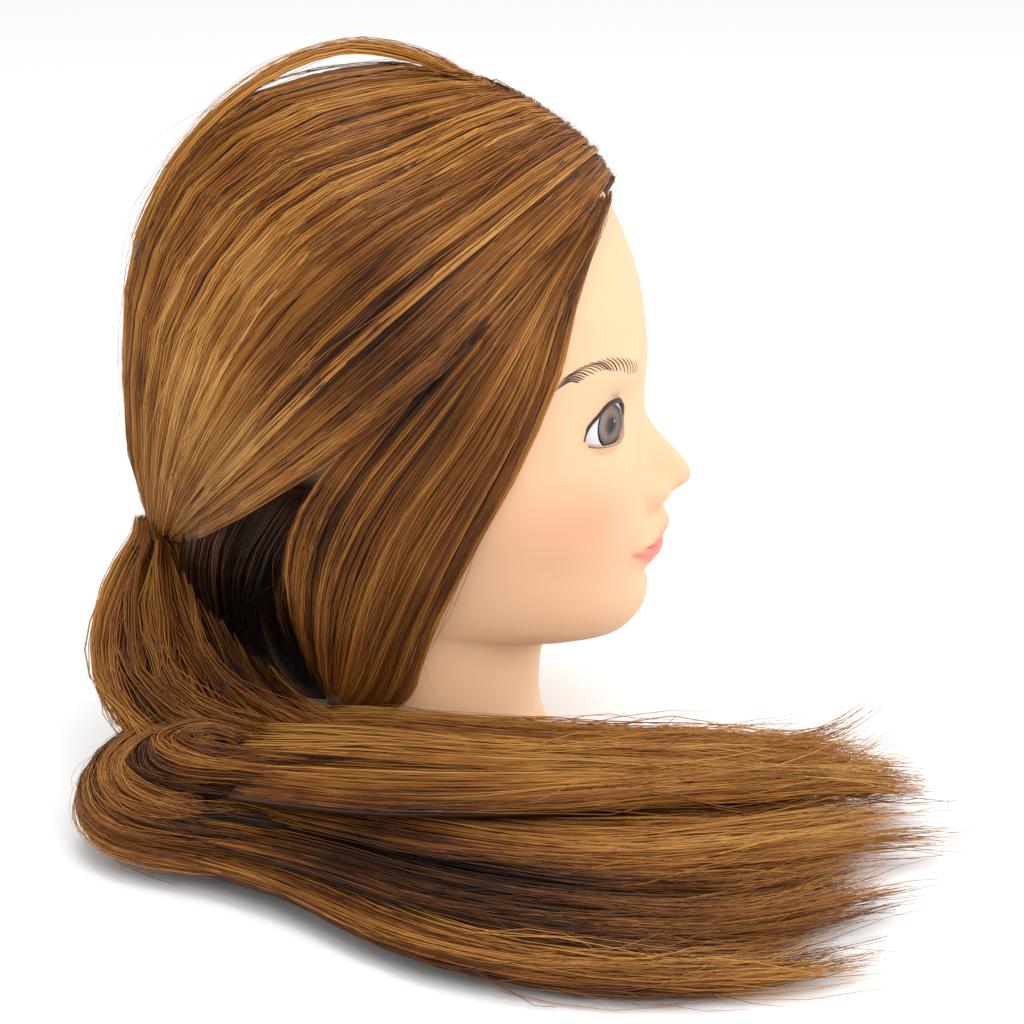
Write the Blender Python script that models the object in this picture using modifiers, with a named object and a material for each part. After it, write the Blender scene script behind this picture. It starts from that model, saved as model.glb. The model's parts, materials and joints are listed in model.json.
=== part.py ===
"""Mannequin training head with rooted long hair, worn half up, its tail laid round on the table.

Metres, +Z up. The face looks along +X, and the head's own right side is toward -Y.
Lengths below are in millimetres and MM turns them into metres.
Everything is first built round the neck's axis, with the base at z = 0, and CENTRE then moves
the whole object so that its origin is at the middle of its footprint.
"""

import math

import bmesh
import bpy
import numpy as np
from mathutils import Vector

MM = 0.001
GAP = 0.35  # between pieces that touch

# ---- driving dimensions, mm ----
CENTRE = (49.43, -55.83)  # the footprint's middle, from the neck's axis
SKIN_WALL = 3.2  # soft vinyl
HEAD_ROWS = 25
HEAD_COLUMNS = 34
PLATE_R = 53.6
PLATE_H = 6.0
RIM_Z = 0.4  # the skin's lower edge, just above what the head stands on
SOCKET_BORE_R = 11.0
SOCKET_DEPTH = 56.0
SOCKET_R = 15.5
SOCKET_TOP = 61.0
FLANGE_R = 29.0
FLANGE_H = 2.6
SCREW_CIRCLE_R = 42.0
SCREW_R = 2.0
SCREW_HEAD_R = 3.8
SCREW_TOP = 11.5
RING_IN_R = 35.0
RING_OUT_R = 49.0
RING_TOP = 12.5
EYE_R = 14.2
EYE_CENTRE = (70.5, 31.0, 146.0)
EYE_TURN = math.radians(31.0)  # how far each eye looks outward
IRIS_R = 7.8
LID = 1.7  # how far the lids stand off the eye
OPENING = (16.0, 13.3, 7.4)  # half sizes of the gap between the lids: deep, wide, tall
OPENING_TURN = math.radians(24.0)
OPENING_TILT = math.radians(9.0)  # its slant across the face
EAR_Z = 112.0
TIE_CENTRE = (-92.0, 0.0, 84.0)
TIE_R = 12.5
TIE_CORD_R = 1.9

# The head's form, from the neck's foot to the crown. Each row is a slice through a point on the
# front outline and one on the back outline: front x, front z, back x, back z, half width, and
# how far from back to front the widest place lies.
ROWS = [
    (59.5, RIM_Z, -59.5, RIM_Z, 59.5, 0.50),
    (57.5, 8.0, -57.5, 8.0, 57.5, 0.50),
    (53.0, 22.0, -53.5, 24.0, 53.0, 0.50),
    (52.5, 36.0, -54.5, 42.0, 51.5, 0.50),
    (54.5, 49.0, -59.0, 64.0, 51.5, 0.51),
    (62.0, 55.5, -65.0, 82.0, 52.0, 0.51),
    (75.0, 56.0, -70.0, 94.0, 53.0, 0.50),
    (85.0, 58.0, -74.5, 104.0, 54.5, 0.49),
    (90.5, 64.0, -78.0, 112.0, 56.5, 0.48),
    (92.5, 72.0, -81.0, 121.0, 59.0, 0.47),
    (92.5, 82.0, -84.0, 131.0, 62.0, 0.47),
    (94.0, 94.0, -86.5, 142.0, 65.0, 0.48),
    (94.0, 107.0, -88.5, 153.0, 67.5, 0.49),
    (92.5, 120.0, -89.5, 164.0, 69.5, 0.50),
    (91.0, 133.0, -90.0, 174.0, 71.0, 0.50),
    (91.3, 146.0, -90.0, 184.0, 72.0, 0.50),
    (92.5, 160.0, -89.0, 194.0, 73.0, 0.49),
    (92.0, 173.0, -87.0, 204.0, 73.5, 0.48),
    (90.0, 187.0, -83.5, 214.0, 73.0, 0.47),
    (86.0, 201.0, -78.5, 224.0, 71.0, 0.46),
    (80.0, 215.0, -71.0, 234.0, 67.0, 0.46),
    (71.5, 228.5, -61.5, 243.0, 60.0, 0.46),
    (59.0, 241.0, -49.5, 250.5, 50.5, 0.46),
    (42.5, 251.5, -35.5, 256.5, 37.5, 0.47),
    (22.0, 258.5, -20.0, 260.0, 20.5, 0.48),
]
CROWN = (0.5, 0.0, 261.5)

PARTS = "mannequin_training_head"
CUTTERS = "cutters"


# ---------- small helpers ----------
def clear_scene():
    for ob in list(bpy.data.objects):
        bpy.data.objects.remove(ob, do_unlink=True)


def collection(name):
    group = bpy.data.collections.new(name)
    bpy.context.scene.collection.children.link(group)
    return group


def material(name, colour, roughness=0.5, metallic=0.0):
    mat = bpy.data.materials.new(name)
    mat.use_nodes = True
    shader = mat.node_tree.nodes["Principled BSDF"]
    shader.inputs["Base Color"].default_value = (*colour, 1.0)
    shader.inputs["Roughness"].default_value = roughness
    shader.inputs["Metallic"].default_value = metallic
    return mat


def place(ob, mat=None, group=PARTS):
    """Puts ob in its collection, with its material, and marks cutters as guides."""
    for other in list(ob.users_collection):
        other.objects.unlink(ob)
    bpy.data.collections[group].objects.link(ob)
    if mat is not None:
        ob.data.materials.append(mat)
    if group == CUTTERS:
        ob.hide_render = True
        ob.display_type = "WIRE"
    return ob


def mesh_object(name, verts, faces, mat=None, group=PARTS, smooth=True):
    mesh = bpy.data.meshes.new(name)
    mesh.from_pydata([tuple(c * MM for c in v) for v in verts], [], faces)
    mesh.validate()
    bm = bmesh.new()
    bm.from_mesh(mesh)
    bmesh.ops.recalc_face_normals(bm, faces=bm.faces)
    bm.to_mesh(mesh)
    bm.free()
    if smooth:
        mesh.shade_smooth()
        mesh.set_sharp_from_angle(angle=math.radians(40))
    return place(bpy.data.objects.new(name, mesh), mat, group)


def turned(name, outline, steps, mat=None, group=PARTS, at=(0, 0)):
    """A profile of (radius, z) points turned about an upright axis.

    The outline starts and ends on the axis, or closes on itself as a ring's section does.
    """
    mesh = bpy.data.meshes.new(name)
    ring = outline[0][0] > 0
    points = [(r * MM, 0.0, z * MM) for r, z in outline]
    edges = [(i, i + 1) for i in range(len(points) - 1)]
    if ring:
        edges.append((len(points) - 1, 0))
    mesh.from_pydata(points, edges, [])
    ob = place(bpy.data.objects.new(name, mesh), mat, group)
    screw = ob.modifiers.new("turn", "SCREW")
    screw.steps = steps
    screw.render_steps = steps
    screw.use_merge_vertices = True
    screw.merge_threshold = 0.00001
    ob.location = (at[0] * MM, at[1] * MM, 0.0)
    return ob


def cut(ob, cutter):
    boolean = ob.modifiers.new("cut " + cutter.name, "BOOLEAN")
    boolean.operation = "DIFFERENCE"
    boolean.solver = "EXACT"
    boolean.object = cutter


def smooth_path(points, count):
    """count points along a Catmull-Rom curve through points."""
    p = np.array(points, float)
    p = np.vstack([2 * p[0] - p[1], p, 2 * p[-1] - p[-2]])
    spans = len(p) - 3
    out = []
    for t in np.linspace(0, spans, count):
        i = min(int(t), spans - 1)
        f = t - i
        a, b, c, d = p[i : i + 4]
        square = (2 * a - 5 * b + 4 * c - d) * f**2
        cube = (3 * b - a - 3 * c + d) * f**3
        out.append(0.5 * (2 * b + (c - a) * f + square + cube))
    return np.array(out)


# ---------- the head's form ----------
def bump(y, z, at_y, at_z, wide, tall):
    """1 at a place on the face, on both sides of it, falling off over wide and tall."""
    return math.exp(-(((abs(y) - at_y) / wide) ** 2) - ((z - at_z) / tall) ** 2)


def nose_height(z):
    heights = [(100, 0.0), (104, 1.5), (108, 6.0), (112, 12.5), (116, 16.0), (119, 16.4), (124, 13.5)]
    heights += [(130, 8.4), (136, 3.6), (142, 1.0), (150, 0.0)]
    return float(np.interp(z, [h[0] for h in heights], [h[1] for h in heights]))


def raised(y, z):
    """What stands out of the face: nose, its wings, lips and chin."""
    wide = float(np.interp(z, [104, 113, 124, 142], [9.0, 9.5, 7.0, 6.0]))
    out = nose_height(z) * math.exp(-((abs(y) / wide) ** 2.2))
    out += 6.0 * bump(y, z, 11.5, 112, 4.5, 5.0)
    out += 6.0 * bump(y, z, 0, 98, 15, 4.0)
    out += 3.4 * bump(y, z, 0, 85, 13, 5.0)
    return out


def sunk(y, z):
    """What is hollow in the face: round the eyes, and beside and below the mouth."""
    return 5.5 * bump(y, z, 26, 149, 13, 10) + 1.5 * bump(y, z, 24, 92, 7, 7)


def head_point(row, angle):
    """The plain form at a row of ROWS' six numbers, angle 0 at the front and pi at the back."""
    front_x, front_z, back_x, back_z, half_width, widest = row
    cos, sin = math.cos(angle), math.sin(angle)
    power = 2 / 2.15
    along = math.copysign(abs(cos) ** power, cos)
    reach = (1 - widest) if cos > 0 else widest
    share = widest + reach * along
    x = back_x + (front_x - back_x) * share
    z = back_z + (front_z - back_z) * share
    return np.array([x, -half_width * math.copysign(abs(sin) ** power, sin), z])


def form_rows(rows):
    """ROWS resampled to a given number of rows, smoothly."""
    return smooth_path(ROWS, rows)


def column_angles(columns):
    """Angles round the head, closer together at the face."""
    half = columns // 2
    angles = [math.pi * (i / half) ** 1.25 for i in range(half)]
    return angles + [math.pi] + [2 * math.pi - a for a in reversed(angles[1:])]


def head_grid(rows, columns, inset, with_raised):
    """A closed-round grid of points on the head, moved inward by inset."""
    angles = column_angles(columns)
    plain = np.array([[head_point(r, a) for a in angles] for r in form_rows(rows)])
    round_it = np.roll(plain, -1, axis=1) - np.roll(plain, 1, axis=1)
    up_it = np.gradient(plain, axis=0)
    normal = np.cross(round_it, up_it)
    normal /= np.linalg.norm(normal, axis=2, keepdims=True)
    if np.sum(normal[len(plain) // 2, 0] * [1, 0, 0]) < 0:
        normal = -normal
    out = plain - normal * inset
    for i, line in enumerate(out):
        for j, point in enumerate(line):
            facing = max(0.0, math.cos(angles[j]))
            y, z = plain[i, j, 1], plain[i, j, 2]
            share = min(1.0, facing * 2.0)
            point[0] -= sunk(y, z) * share
            if with_raised:
                point[0] += raised(y, z) * share
                lift_lids(point)
    if inset:
        out[0, :, 2] = RIM_Z
    return out


def lift_lids(point):
    """Moves a point of the face off the eye behind it, which makes the lids."""
    for side in (-1, 1):
        eye = np.array([EYE_CENTRE[0], side * EYE_CENTRE[1], EYE_CENTRE[2]])
        away = point - eye
        distance = np.linalg.norm(away)
        if away[0] > -4.0 and distance < EYE_R + LID:
            point[:] = eye + away * (EYE_R + LID) / distance


def dome(grid, top):
    """A grid as vertices and faces, with a point at its top."""
    rows, columns, _ = grid.shape
    verts = [tuple(v) for line in grid for v in line] + [tuple(top)]
    faces = []
    for i in range(rows - 1):
        for j in range(columns):
            k = (j + 1) % columns
            a, b = i * columns + j, i * columns + k
            faces.append((a, b, b + columns, a + columns))
    last = (rows - 1) * columns
    faces += [(last + j, last + (j + 1) % columns, rows * columns) for j in range(columns)]
    return verts, faces


def eye_ball(name, side, radius, mat=None, group=PARTS):
    x, y, z = EYE_CENTRE
    bpy.ops.mesh.primitive_uv_sphere_add(segments=20, ring_count=12, radius=radius * MM)
    ob = bpy.context.object
    ob.name = name
    ob.location = (x * MM, side * y * MM, z * MM)
    ob.rotation_euler = (0.0, math.pi / 2, side * EYE_TURN)
    ob.data.shade_smooth()
    return place(ob, mat, group)


def eye_opening(side):
    """An almond-shaped cutter for the gap between the lids."""
    x, y, z = EYE_CENTRE
    bpy.ops.mesh.primitive_uv_sphere_add(segments=24, ring_count=12, radius=MM)
    ob = bpy.context.object
    ob.name = f"eye_opening_{side}"
    ob.scale = OPENING
    ob.location = (x * MM + 0.006, side * (y * MM + 0.0022), z * MM)
    ob.rotation_euler = (side * OPENING_TILT, 0.0, side * OPENING_TURN)
    return place(ob, None, CUTTERS)


def make_skin(mat):
    outer = head_grid(HEAD_ROWS, HEAD_COLUMNS, 0.0, True)
    inner = head_grid(HEAD_ROWS, HEAD_COLUMNS, SKIN_WALL, False)
    verts, faces = dome(outer, CROWN)
    inner_top = (CROWN[0], CROWN[1], CROWN[2] - SKIN_WALL)
    inner_verts, inner_faces = dome(inner, inner_top)
    start = len(verts)
    faces += [tuple(start + i for i in reversed(f)) for f in inner_faces]
    columns = HEAD_COLUMNS
    for j in range(columns):
        k = (j + 1) % columns
        faces.append((k, j, start + j, start + k))
    skin = mesh_object("head_skin", verts + inner_verts, faces, mat)
    for side in (-1, 1):
        cut(skin, eye_opening(side))
        cut(skin, eye_ball(f"skin_eye_pocket_{side}", side, EYE_R + GAP, None, CUTTERS))
    return skin


def make_core(mat):
    grid = head_grid(HEAD_ROWS, HEAD_COLUMNS, SKIN_WALL + 1.3, False)[1:]
    grid[0, :, 2] = PLATE_H + GAP
    verts, faces = dome(grid, (CROWN[0], CROWN[1], CROWN[2] - SKIN_WALL - 0.8))
    faces.append(tuple(reversed(range(grid.shape[1]))))
    core = mesh_object("foam_core", verts, faces, mat)
    for side in (-1, 1):
        cut(core, eye_ball(f"core_eye_pocket_{side}", side, EYE_R + GAP + 0.2, None, CUTTERS))
    room = [(0, SOCKET_TOP + 1.0), (SOCKET_R + 0.6, SOCKET_TOP + 1.0), (SOCKET_R + 0.6, 0), (0, 0)]
    cut(core, turned("socket_room", room, 32, None, CUTTERS))
    ring = [(RING_OUT_R + GAP, RING_TOP + GAP), (RING_OUT_R + GAP, 0), (RING_IN_R - GAP, 0)]
    ring.append((RING_IN_R - GAP, RING_TOP + GAP))
    cut(core, turned("ring_room", ring, 32, None, CUTTERS))
    return core


# ---------- what the head stands on ----------
def screw_places():
    return [
        (SCREW_CIRCLE_R * math.cos(a), SCREW_CIRCLE_R * math.sin(a))
        for a in (math.radians(45 + 90 * i) for i in range(4))
    ]


def make_base(mat, ring_mat, screw_mat):
    plate = turned(
        "base_plate",
        [(PLATE_R - 1, PLATE_H), (PLATE_R, PLATE_H - 1), (PLATE_R, 0.8), (PLATE_R - 0.8, 0)]
        + [(FLANGE_R + 0.5, 0), (FLANGE_R + 0.5, FLANGE_H + 0.8), (SOCKET_R + 0.5, FLANGE_H + 0.8)]
        + [(SOCKET_R + 0.5, PLATE_H)],
        40,
        mat,
    )
    ring = turned(
        "anchor_ring",
        [(RING_OUT_R, RING_TOP), (RING_OUT_R, PLATE_H + GAP)]
        + [(RING_IN_R, PLATE_H + GAP), (RING_IN_R, RING_TOP)],
        32,
        ring_mat,
    )
    for i, at in enumerate(screw_places()):
        hole = [(0, 20), (SCREW_R + 0.4, 20), (SCREW_R + 0.4, 3.2), (SCREW_HEAD_R + 0.4, 3.2)]
        hole += [(SCREW_HEAD_R + 0.4, -2), (0, -2)]
        bore = turned(f"screw_hole_{i}", hole, 14, None, CUTTERS, at)
        cut(plate, bore)
        cut(ring, bore)
        make_screw(f"base_screw_{i + 1}", at, screw_mat)


def make_screw(name, at, mat):
    shape = [(0, SCREW_TOP), (0.7, SCREW_TOP - 0.8), (SCREW_R, SCREW_TOP - 2.5), (SCREW_R, 2.8)]
    shape += [(SCREW_HEAD_R, 2.6), (SCREW_HEAD_R, 1.2), (SCREW_HEAD_R - 1.0, 0.4), (0, 0.4)]
    screw = turned(name, shape, 14, mat, at=at)
    for turn in (0, 1):
        bpy.ops.mesh.primitive_cube_add(size=MM)
        slot = bpy.context.object
        slot.name = f"{name}_cross_{turn}"
        slot.scale = (4.2, 0.9, 2.4)
        slot.rotation_euler = (0, 0, turn * math.pi / 2)
        slot.location = (at[0] * MM, at[1] * MM, 0.4 * MM)
        place(slot, None, CUTTERS)
        cut(screw, slot)


def make_socket(mat):
    outline = [(0, SOCKET_TOP), (SOCKET_R - 3, SOCKET_TOP), (SOCKET_R - 1, SOCKET_TOP - 2)]
    outline += [(SOCKET_R, FLANGE_H + 0.4), (FLANGE_R, FLANGE_H + 0.4), (FLANGE_R, 0.4)]
    outline += [(SOCKET_BORE_R + 1.5, 0.4), (SOCKET_BORE_R, 2.0)]
    outline += [(SOCKET_BORE_R - 0.5, SOCKET_DEPTH), (0, SOCKET_DEPTH)]
    return turned("clamp_socket", outline, 36, mat)


# ---------- the eyes ----------
def make_eye(side, name, white, printed, clear):
    """A white acrylic ball with a flat in front, a printed disc on it and a clear dome over it."""
    ball = eye_ball(f"eye_{name}", side, EYE_R, white)
    direction = Vector((math.cos(EYE_TURN), side * math.sin(EYE_TURN), 0.0))
    centre = Vector((EYE_CENTRE[0], side * EYE_CENTRE[1], EYE_CENTRE[2]))
    flat = math.sqrt(EYE_R**2 - (IRIS_R + 0.6) ** 2) - 1.6
    turn = direction.to_track_quat("Z", "Y")
    front = [(0, 20), (IRIS_R + 0.6, 20), (IRIS_R + 0.6, flat), (0, flat)]
    block = turned(f"eye_flat_{name}", front, 24, None, CUTTERS)
    disc = turned(
        f"iris_{name}",
        [(0, flat + 1.0), (IRIS_R, flat + 1.0), (IRIS_R, flat + GAP), (0, flat + GAP)],
        24,
        printed,
    )
    low = flat + 1.0 + GAP
    radii = [IRIS_R * i / 6 for i in range(7)]
    arc = [(r, math.sqrt(EYE_R**2 - r * r) + 0.2 * (1 - (r / IRIS_R) ** 2)) for r in radii]
    dome_shape = arc + [(IRIS_R, low), (0, low)]
    window = turned(f"cornea_{name}", dome_shape, 24, clear)
    for ob in (block, disc, window):
        ob.rotation_mode = "QUATERNION"
        ob.rotation_quaternion = turn
        ob.location = centre * MM
    cut(ball, block)


# ---------- the hair ----------
def surface(guides, across, along):
    """A grid of points over a sheet whose strands run along the guides."""
    lines = np.array([smooth_path(g, along) for g in guides])
    return np.array([smooth_path(lines[:, i], across) for i in range(along)]).transpose(1, 0, 2)


def clear_of_head(grid, least, most):
    """Moves points until each is at least this far off the head's plain form.

    Above the ears none is further off than most, which keeps an under layer under the next.
    """
    form = head_grid(60, 72, 0.0, False).reshape(-1, 3)
    middle = np.array([0.0, 0.0, 150.0])
    out = grid.copy()
    for point in out.reshape(-1, 3):
        nearest = form[np.argmin(np.linalg.norm(form - point, axis=1))]
        axis = np.array([0.0, 0.0, min(nearest[2], 185.0)])
        outward = nearest - axis if nearest[2] < 185.0 else nearest - middle
        outward /= np.linalg.norm(outward)
        height = np.dot(point - nearest, outward)
        if height < least:
            point += outward * (least - height)
        if height > most and point[2] > EAR_Z:
            point += outward * (most - height)
    return out


def lock(name, guides, thick, mat, across=7, along=14, least=0.0, most=99.0, floor=0.4):
    """A closed solid round a sheet of hair: thick at its middle and thin at its edges."""
    grid = surface(guides, across, along)
    if least:
        grid = clear_of_head(grid, least + thick / 2, most + thick / 2)
    u = np.gradient(grid, axis=0)
    v = np.gradient(grid, axis=1)
    normal = np.cross(u, v)
    normal /= np.linalg.norm(normal, axis=2, keepdims=True) + 1e-9
    edge_u = np.sin(np.linspace(0.12, 0.88, across) * math.pi) ** 0.6
    edge_v = np.sin(np.linspace(0.10, 0.90, along) * math.pi) ** 0.4
    half = (thick / 2) * np.outer(edge_u, edge_v)[:, :, None]
    front = grid + normal * half
    back = grid - normal * half
    for side in (front, back):
        side[:, :, 2] = np.maximum(side[:, :, 2], floor)
    low = np.minimum(front[:, :, 2], back[:, :, 2])
    flat = np.abs(front[:, :, 2] - back[:, :, 2]) < 0.2
    front[:, :, 2] = np.where(flat & (low < 1.0), low + 1.5, front[:, :, 2])
    verts = [tuple(p) for p in front.reshape(-1, 3)] + [tuple(p) for p in back.reshape(-1, 3)]
    start = across * along
    faces = []
    for i in range(across - 1):
        for j in range(along - 1):
            a, b = i * along + j, (i + 1) * along + j
            faces.append((a, b, b + 1, a + 1))
            faces.append((start + a + 1, start + b + 1, start + b, start + a))
    rim = [(i, 0) for i in range(across)] + [(across - 1, j) for j in range(1, along)]
    rim += [(i, along - 1) for i in range(across - 2, -1, -1)]
    rim += [(0, j) for j in range(along - 2, 0, -1)]
    rim = [i * along + j for i, j in rim]
    for a, b in zip(rim, rim[1:] + rim[:1]):
        faces.append((b, a, start + a, start + b))
    return mesh_object(name, verts, faces, mat)


def tube(name, path, radii, mat, rings=12, sides=14):
    """A closed solid of round sections of changing size along a path."""
    centres = smooth_path(path, rings)
    sizes = smooth_path([(r, s, 0.0) for r, s in radii], rings)
    tangent = np.gradient(centres, axis=0)
    verts = []
    for point, along, (wide, deep, _) in zip(centres, tangent, sizes):
        along = along / np.linalg.norm(along)
        across = np.cross(along, (0.0, 1.0, 0.0))
        across /= np.linalg.norm(across)
        other = np.cross(across, along)
        for i in range(sides):
            a = 2 * math.pi * i / sides
            verts.append(tuple(point + across * wide * math.cos(a) + other * deep * math.sin(a)))
    faces = []
    for r in range(rings - 1):
        for i in range(sides):
            a, b = r * sides + i, r * sides + (i + 1) % sides
            faces.append((a, b, b + sides, a + sides))
    faces.append(tuple(reversed(range(sides))))
    faces.append(tuple((rings - 1) * sides + i for i in range(sides)))
    return mesh_object(name, verts, faces, mat)


# Strand paths on the head's right side. Those on the left are their mirror images.
SWEEP = [
    [(-10, -3, 268), (-46, -3, 262), (-84, -3, 226), (-104, -3, 178), (-103, -3, 128), (-97, -3, 93)],
    [(14, -3, 268), (-24, -40, 258), (-64, -56, 224), (-90, -50, 175), (-97, -30, 128), (-95, -6, 93)],
    [(40, -3, 258), (2, -58, 246), (-38, -76, 213), (-70, -72, 168), (-88, -42, 124), (-93, -9, 93)],
    [(60, -3, 245), (26, -64, 232), (-12, -86, 198), (-48, -86, 158), (-76, -58, 119), (-90, -12, 93)],
    [(76, -4, 224), (54, -62, 208), (18, -86, 176), (-24, -90, 143), (-60, -72, 112), (-86, -15, 93)],
]
CURTAIN = [
    [
        (77, -14, 219), (66, -48, 192), (55, -60, 155), (42, -65, 122),
        (21, -64, 88), (9, -62, 58), (-4, -64, 47),
    ],
    [
        (68, -40, 222), (50, -68, 186), (34, -74, 148), (20, -74, 114),
        (4, -70, 80), (-7, -67, 58), (-16, -66, 48),
    ],
    [
        (54, -62, 218), (34, -78, 182), (16, -80, 144), (0, -78, 106),
        (-13, -73, 76), (-22, -68, 57), (-28, -65, 48),
    ],
    [
        (36, -74, 208), (14, -83, 172), (-5, -83, 138), (-20, -80, 104),
        (-30, -74, 74), (-36, -67, 57), (-40, -62, 48),
    ],
]
NAPE = [
    [(-58, -46, 104), (-64, -36, 101), (-71, -20, 98), (-75, -9, 95)],
    [(-68, -26, 110), (-72, -20, 104), (-75, -11, 99), (-76, -5, 95)],
    [(-74, 0, 112), (-75, 0, 106), (-76, 0, 100), (-76, 0, 95)],
    [(-68, 26, 110), (-72, 20, 104), (-75, 11, 99), (-76, 5, 95)],
    [(-58, 46, 104), (-64, 36, 101), (-71, 20, 98), (-75, 9, 95)],
]
CREST = [
    [(40, -8, 276), (22, -14, 281), (-6, -18, 283), (-34, -22, 278)],
    [(38, -14, 275), (20, -22, 280), (-8, -27, 282), (-36, -30, 276)],
]
# The tail, from inside the tie down to the table, and its two half widths on the way.
TAIL_PATH = [(-92, 0, 88), (-92, 0, 83.5), (-92, -1, 78), (-92, -5, 69), (-88, -12, 58)]
TAIL_PATH += [(-83, -19, 48), (-82, -22, 40.5)]
TAIL_SIZE = [(9.2, 9.2), (9.4, 9.4), (9.6, 9.6), (16, 17), (22, 22), (20, 20), (14, 14)]
# The round pile where it meets the table, as (radius, z), and its middle.
COIL_ROWS = [(38, 0.4), (43, 8), (44, 18), (40, 28), (29, 35.5), (14, 37.5)]
COIL_MIDDLE = (-60.0, -92.0)
COIL_TOP = 38.0
# Locks lying on the table, from the pile behind the neck round its right side to the front.
FAN_FRONT = [
    [
        (-28, -140, 6), (0, -154, 7), (24, -176, 7), (60, -198, 6),
        (104, -205, 5), (146, -196, 4), (180, -176, 3),
    ],
    [
        (-18, -130, 11), (10, -142, 12), (36, -160, 11), (74, -178, 9),
        (112, -184, 7), (154, -174, 5), (190, -154, 4),
    ],
    [
        (-8, -122, 12), (18, -132, 14), (46, -146, 13), (82, -158, 11),
        (118, -164, 8), (158, -154, 6), (194, -136, 4),
    ],
]
FAN_MIDDLE = [
    [
        (-4, -114, 13), (20, -121, 14), (52, -132, 13), (88, -143, 11),
        (124, -147, 9), (162, -139, 7), (198, -122, 4),
    ],
    [
        (-8, -101, 17), (18, -106, 18), (54, -112, 16), (92, -118, 13),
        (128, -118, 10), (166, -110, 8), (202, -94, 4),
    ],
    [
        (-8, -86, 13), (18, -88, 14), (58, -92, 13), (96, -94, 11),
        (132, -92, 9), (170, -84, 7), (205, -70, 4),
    ],
]
FAN_REAR = [
    [(64, -72, 11), (84, -74, 12), (108, -72, 11), (138, -68, 9), (172, -60, 7), (206, -50, 4)],
    [(70, -56, 13), (88, -56, 14), (112, -54, 13), (142, -48, 10), (174, -40, 8), (207, -32, 5)],
    [(74, -40, 10), (92, -38, 11), (116, -34, 11), (146, -28, 9), (176, -20, 7), (206, -14, 4)],
]
FAN_OVER = [
    [
        (-22, -112, 34), (8, -112, 35), (44, -112, 33), (82, -114, 30),
        (118, -112, 26), (156, -106, 22), (196, -100, 17),
    ],
    [
        (-24, -92, 38), (8, -90, 38), (44, -90, 35), (84, -90, 31),
        (122, -86, 27), (160, -78, 23), (202, -66, 18),
    ],
    [
        (-24, -76, 36), (8, -76, 36), (46, -74, 32), (86, -70, 30),
        (126, -62, 27), (164, -52, 24), (204, -36, 20),
    ],
]


def mirrored(guides):
    return [[(x, -y, z) for x, y, z in guide] for guide in guides]


def make_tie(mat):
    bpy.ops.mesh.primitive_torus_add(
        major_segments=28, minor_segments=10, major_radius=TIE_R * MM, minor_radius=TIE_CORD_R * MM
    )
    tie = bpy.context.object
    tie.name = "hair_tie"
    tie.location = tuple(c * MM for c in TIE_CENTRE)
    tie.rotation_euler = (0.0, math.radians(-8), 0.0)
    tie.data.shade_smooth()
    return place(tie, mat)


def make_coil(mat):
    """The round pile that the tail makes on the table, behind and beside the neck."""
    sides = 24
    x, y = COIL_MIDDLE
    verts = []
    for radius, z in COIL_ROWS:
        for i in range(sides):
            a = 2 * math.pi * i / sides
            verts.append((x + radius * math.cos(a), y + radius * math.sin(a), z))
    grid = np.array(verts).reshape(len(COIL_ROWS), sides, 3)
    points, faces = dome(grid, (x, y, COIL_TOP))
    faces.append(tuple(reversed(range(sides))))
    return mesh_object("table_coil", points, faces, mat)


def make_hair(brown, dark, gold, band):
    lock("hair_top_right", SWEEP, 7.0, brown, 9, 14, 11.2)
    lock("hair_top_left", mirrored(SWEEP), 7.0, brown, 9, 14, 11.2)
    lock("curtain_right", CURTAIN, 6.5, brown, 7, 14, 2.6, 3.0)
    lock("curtain_left", mirrored(CURTAIN), 6.5, brown, 7, 14, 2.6, 3.0)
    lock("hair_nape", NAPE, 4.0, dark, 9, 6, 2.0)
    lock("crest_lock", CREST, 2.0, gold, 4, 9)
    make_tie(band)
    tube("ponytail", TAIL_PATH, TAIL_SIZE, gold)
    make_coil(brown)
    lock("fan_front", FAN_FRONT, 10.0, brown, 7, 14)
    lock("fan_middle", FAN_MIDDLE, 14.0, dark, 7, 14)
    lock("fan_rear", FAN_REAR, 12.0, brown, 7, 12)
    lock("fan_over", FAN_OVER, 8.0, gold, 7, 14)


def centre_footprint():
    """Moves the whole object so that its origin is at the middle of its footprint."""
    for group in (PARTS, CUTTERS):
        for ob in bpy.data.collections[group].objects:
            ob.location.x -= CENTRE[0] * MM
            ob.location.y -= CENTRE[1] * MM


def build():
    clear_scene()
    collection(PARTS)
    collection(CUTTERS)
    vinyl = material("vinyl", (0.93, 0.62, 0.42), 0.5)
    foam = material("foam", (0.86, 0.80, 0.62), 0.9)
    abs_black = material("abs_black", (0.03, 0.03, 0.035), 0.45)
    abs_grey = material("abs_grey", (0.22, 0.22, 0.23), 0.5)
    steel = material("steel", (0.62, 0.62, 0.64), 0.3, 1.0)
    white = material("acrylic_white", (0.86, 0.86, 0.86), 0.15)
    printed = material("iris_print", (0.15, 0.11, 0.09), 0.3)
    clear = material("acrylic_clear", (0.9, 0.9, 0.9), 0.05)
    brown = material("hair_brown", (0.17, 0.075, 0.024), 0.45)
    dark = material("hair_dark", (0.07, 0.03, 0.012), 0.5)
    gold = material("hair_gold", (0.30, 0.15, 0.05), 0.42)
    band = material("elastic", (0.05, 0.035, 0.03), 0.8)
    make_skin(vinyl)
    make_core(foam)
    make_base(abs_black, abs_grey, steel)
    make_socket(abs_grey)
    make_eye(-1, "right", white, printed, clear)
    make_eye(1, "left", white, printed, clear)
    make_hair(brown, dark, gold, band)
    centre_footprint()


build()
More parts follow.
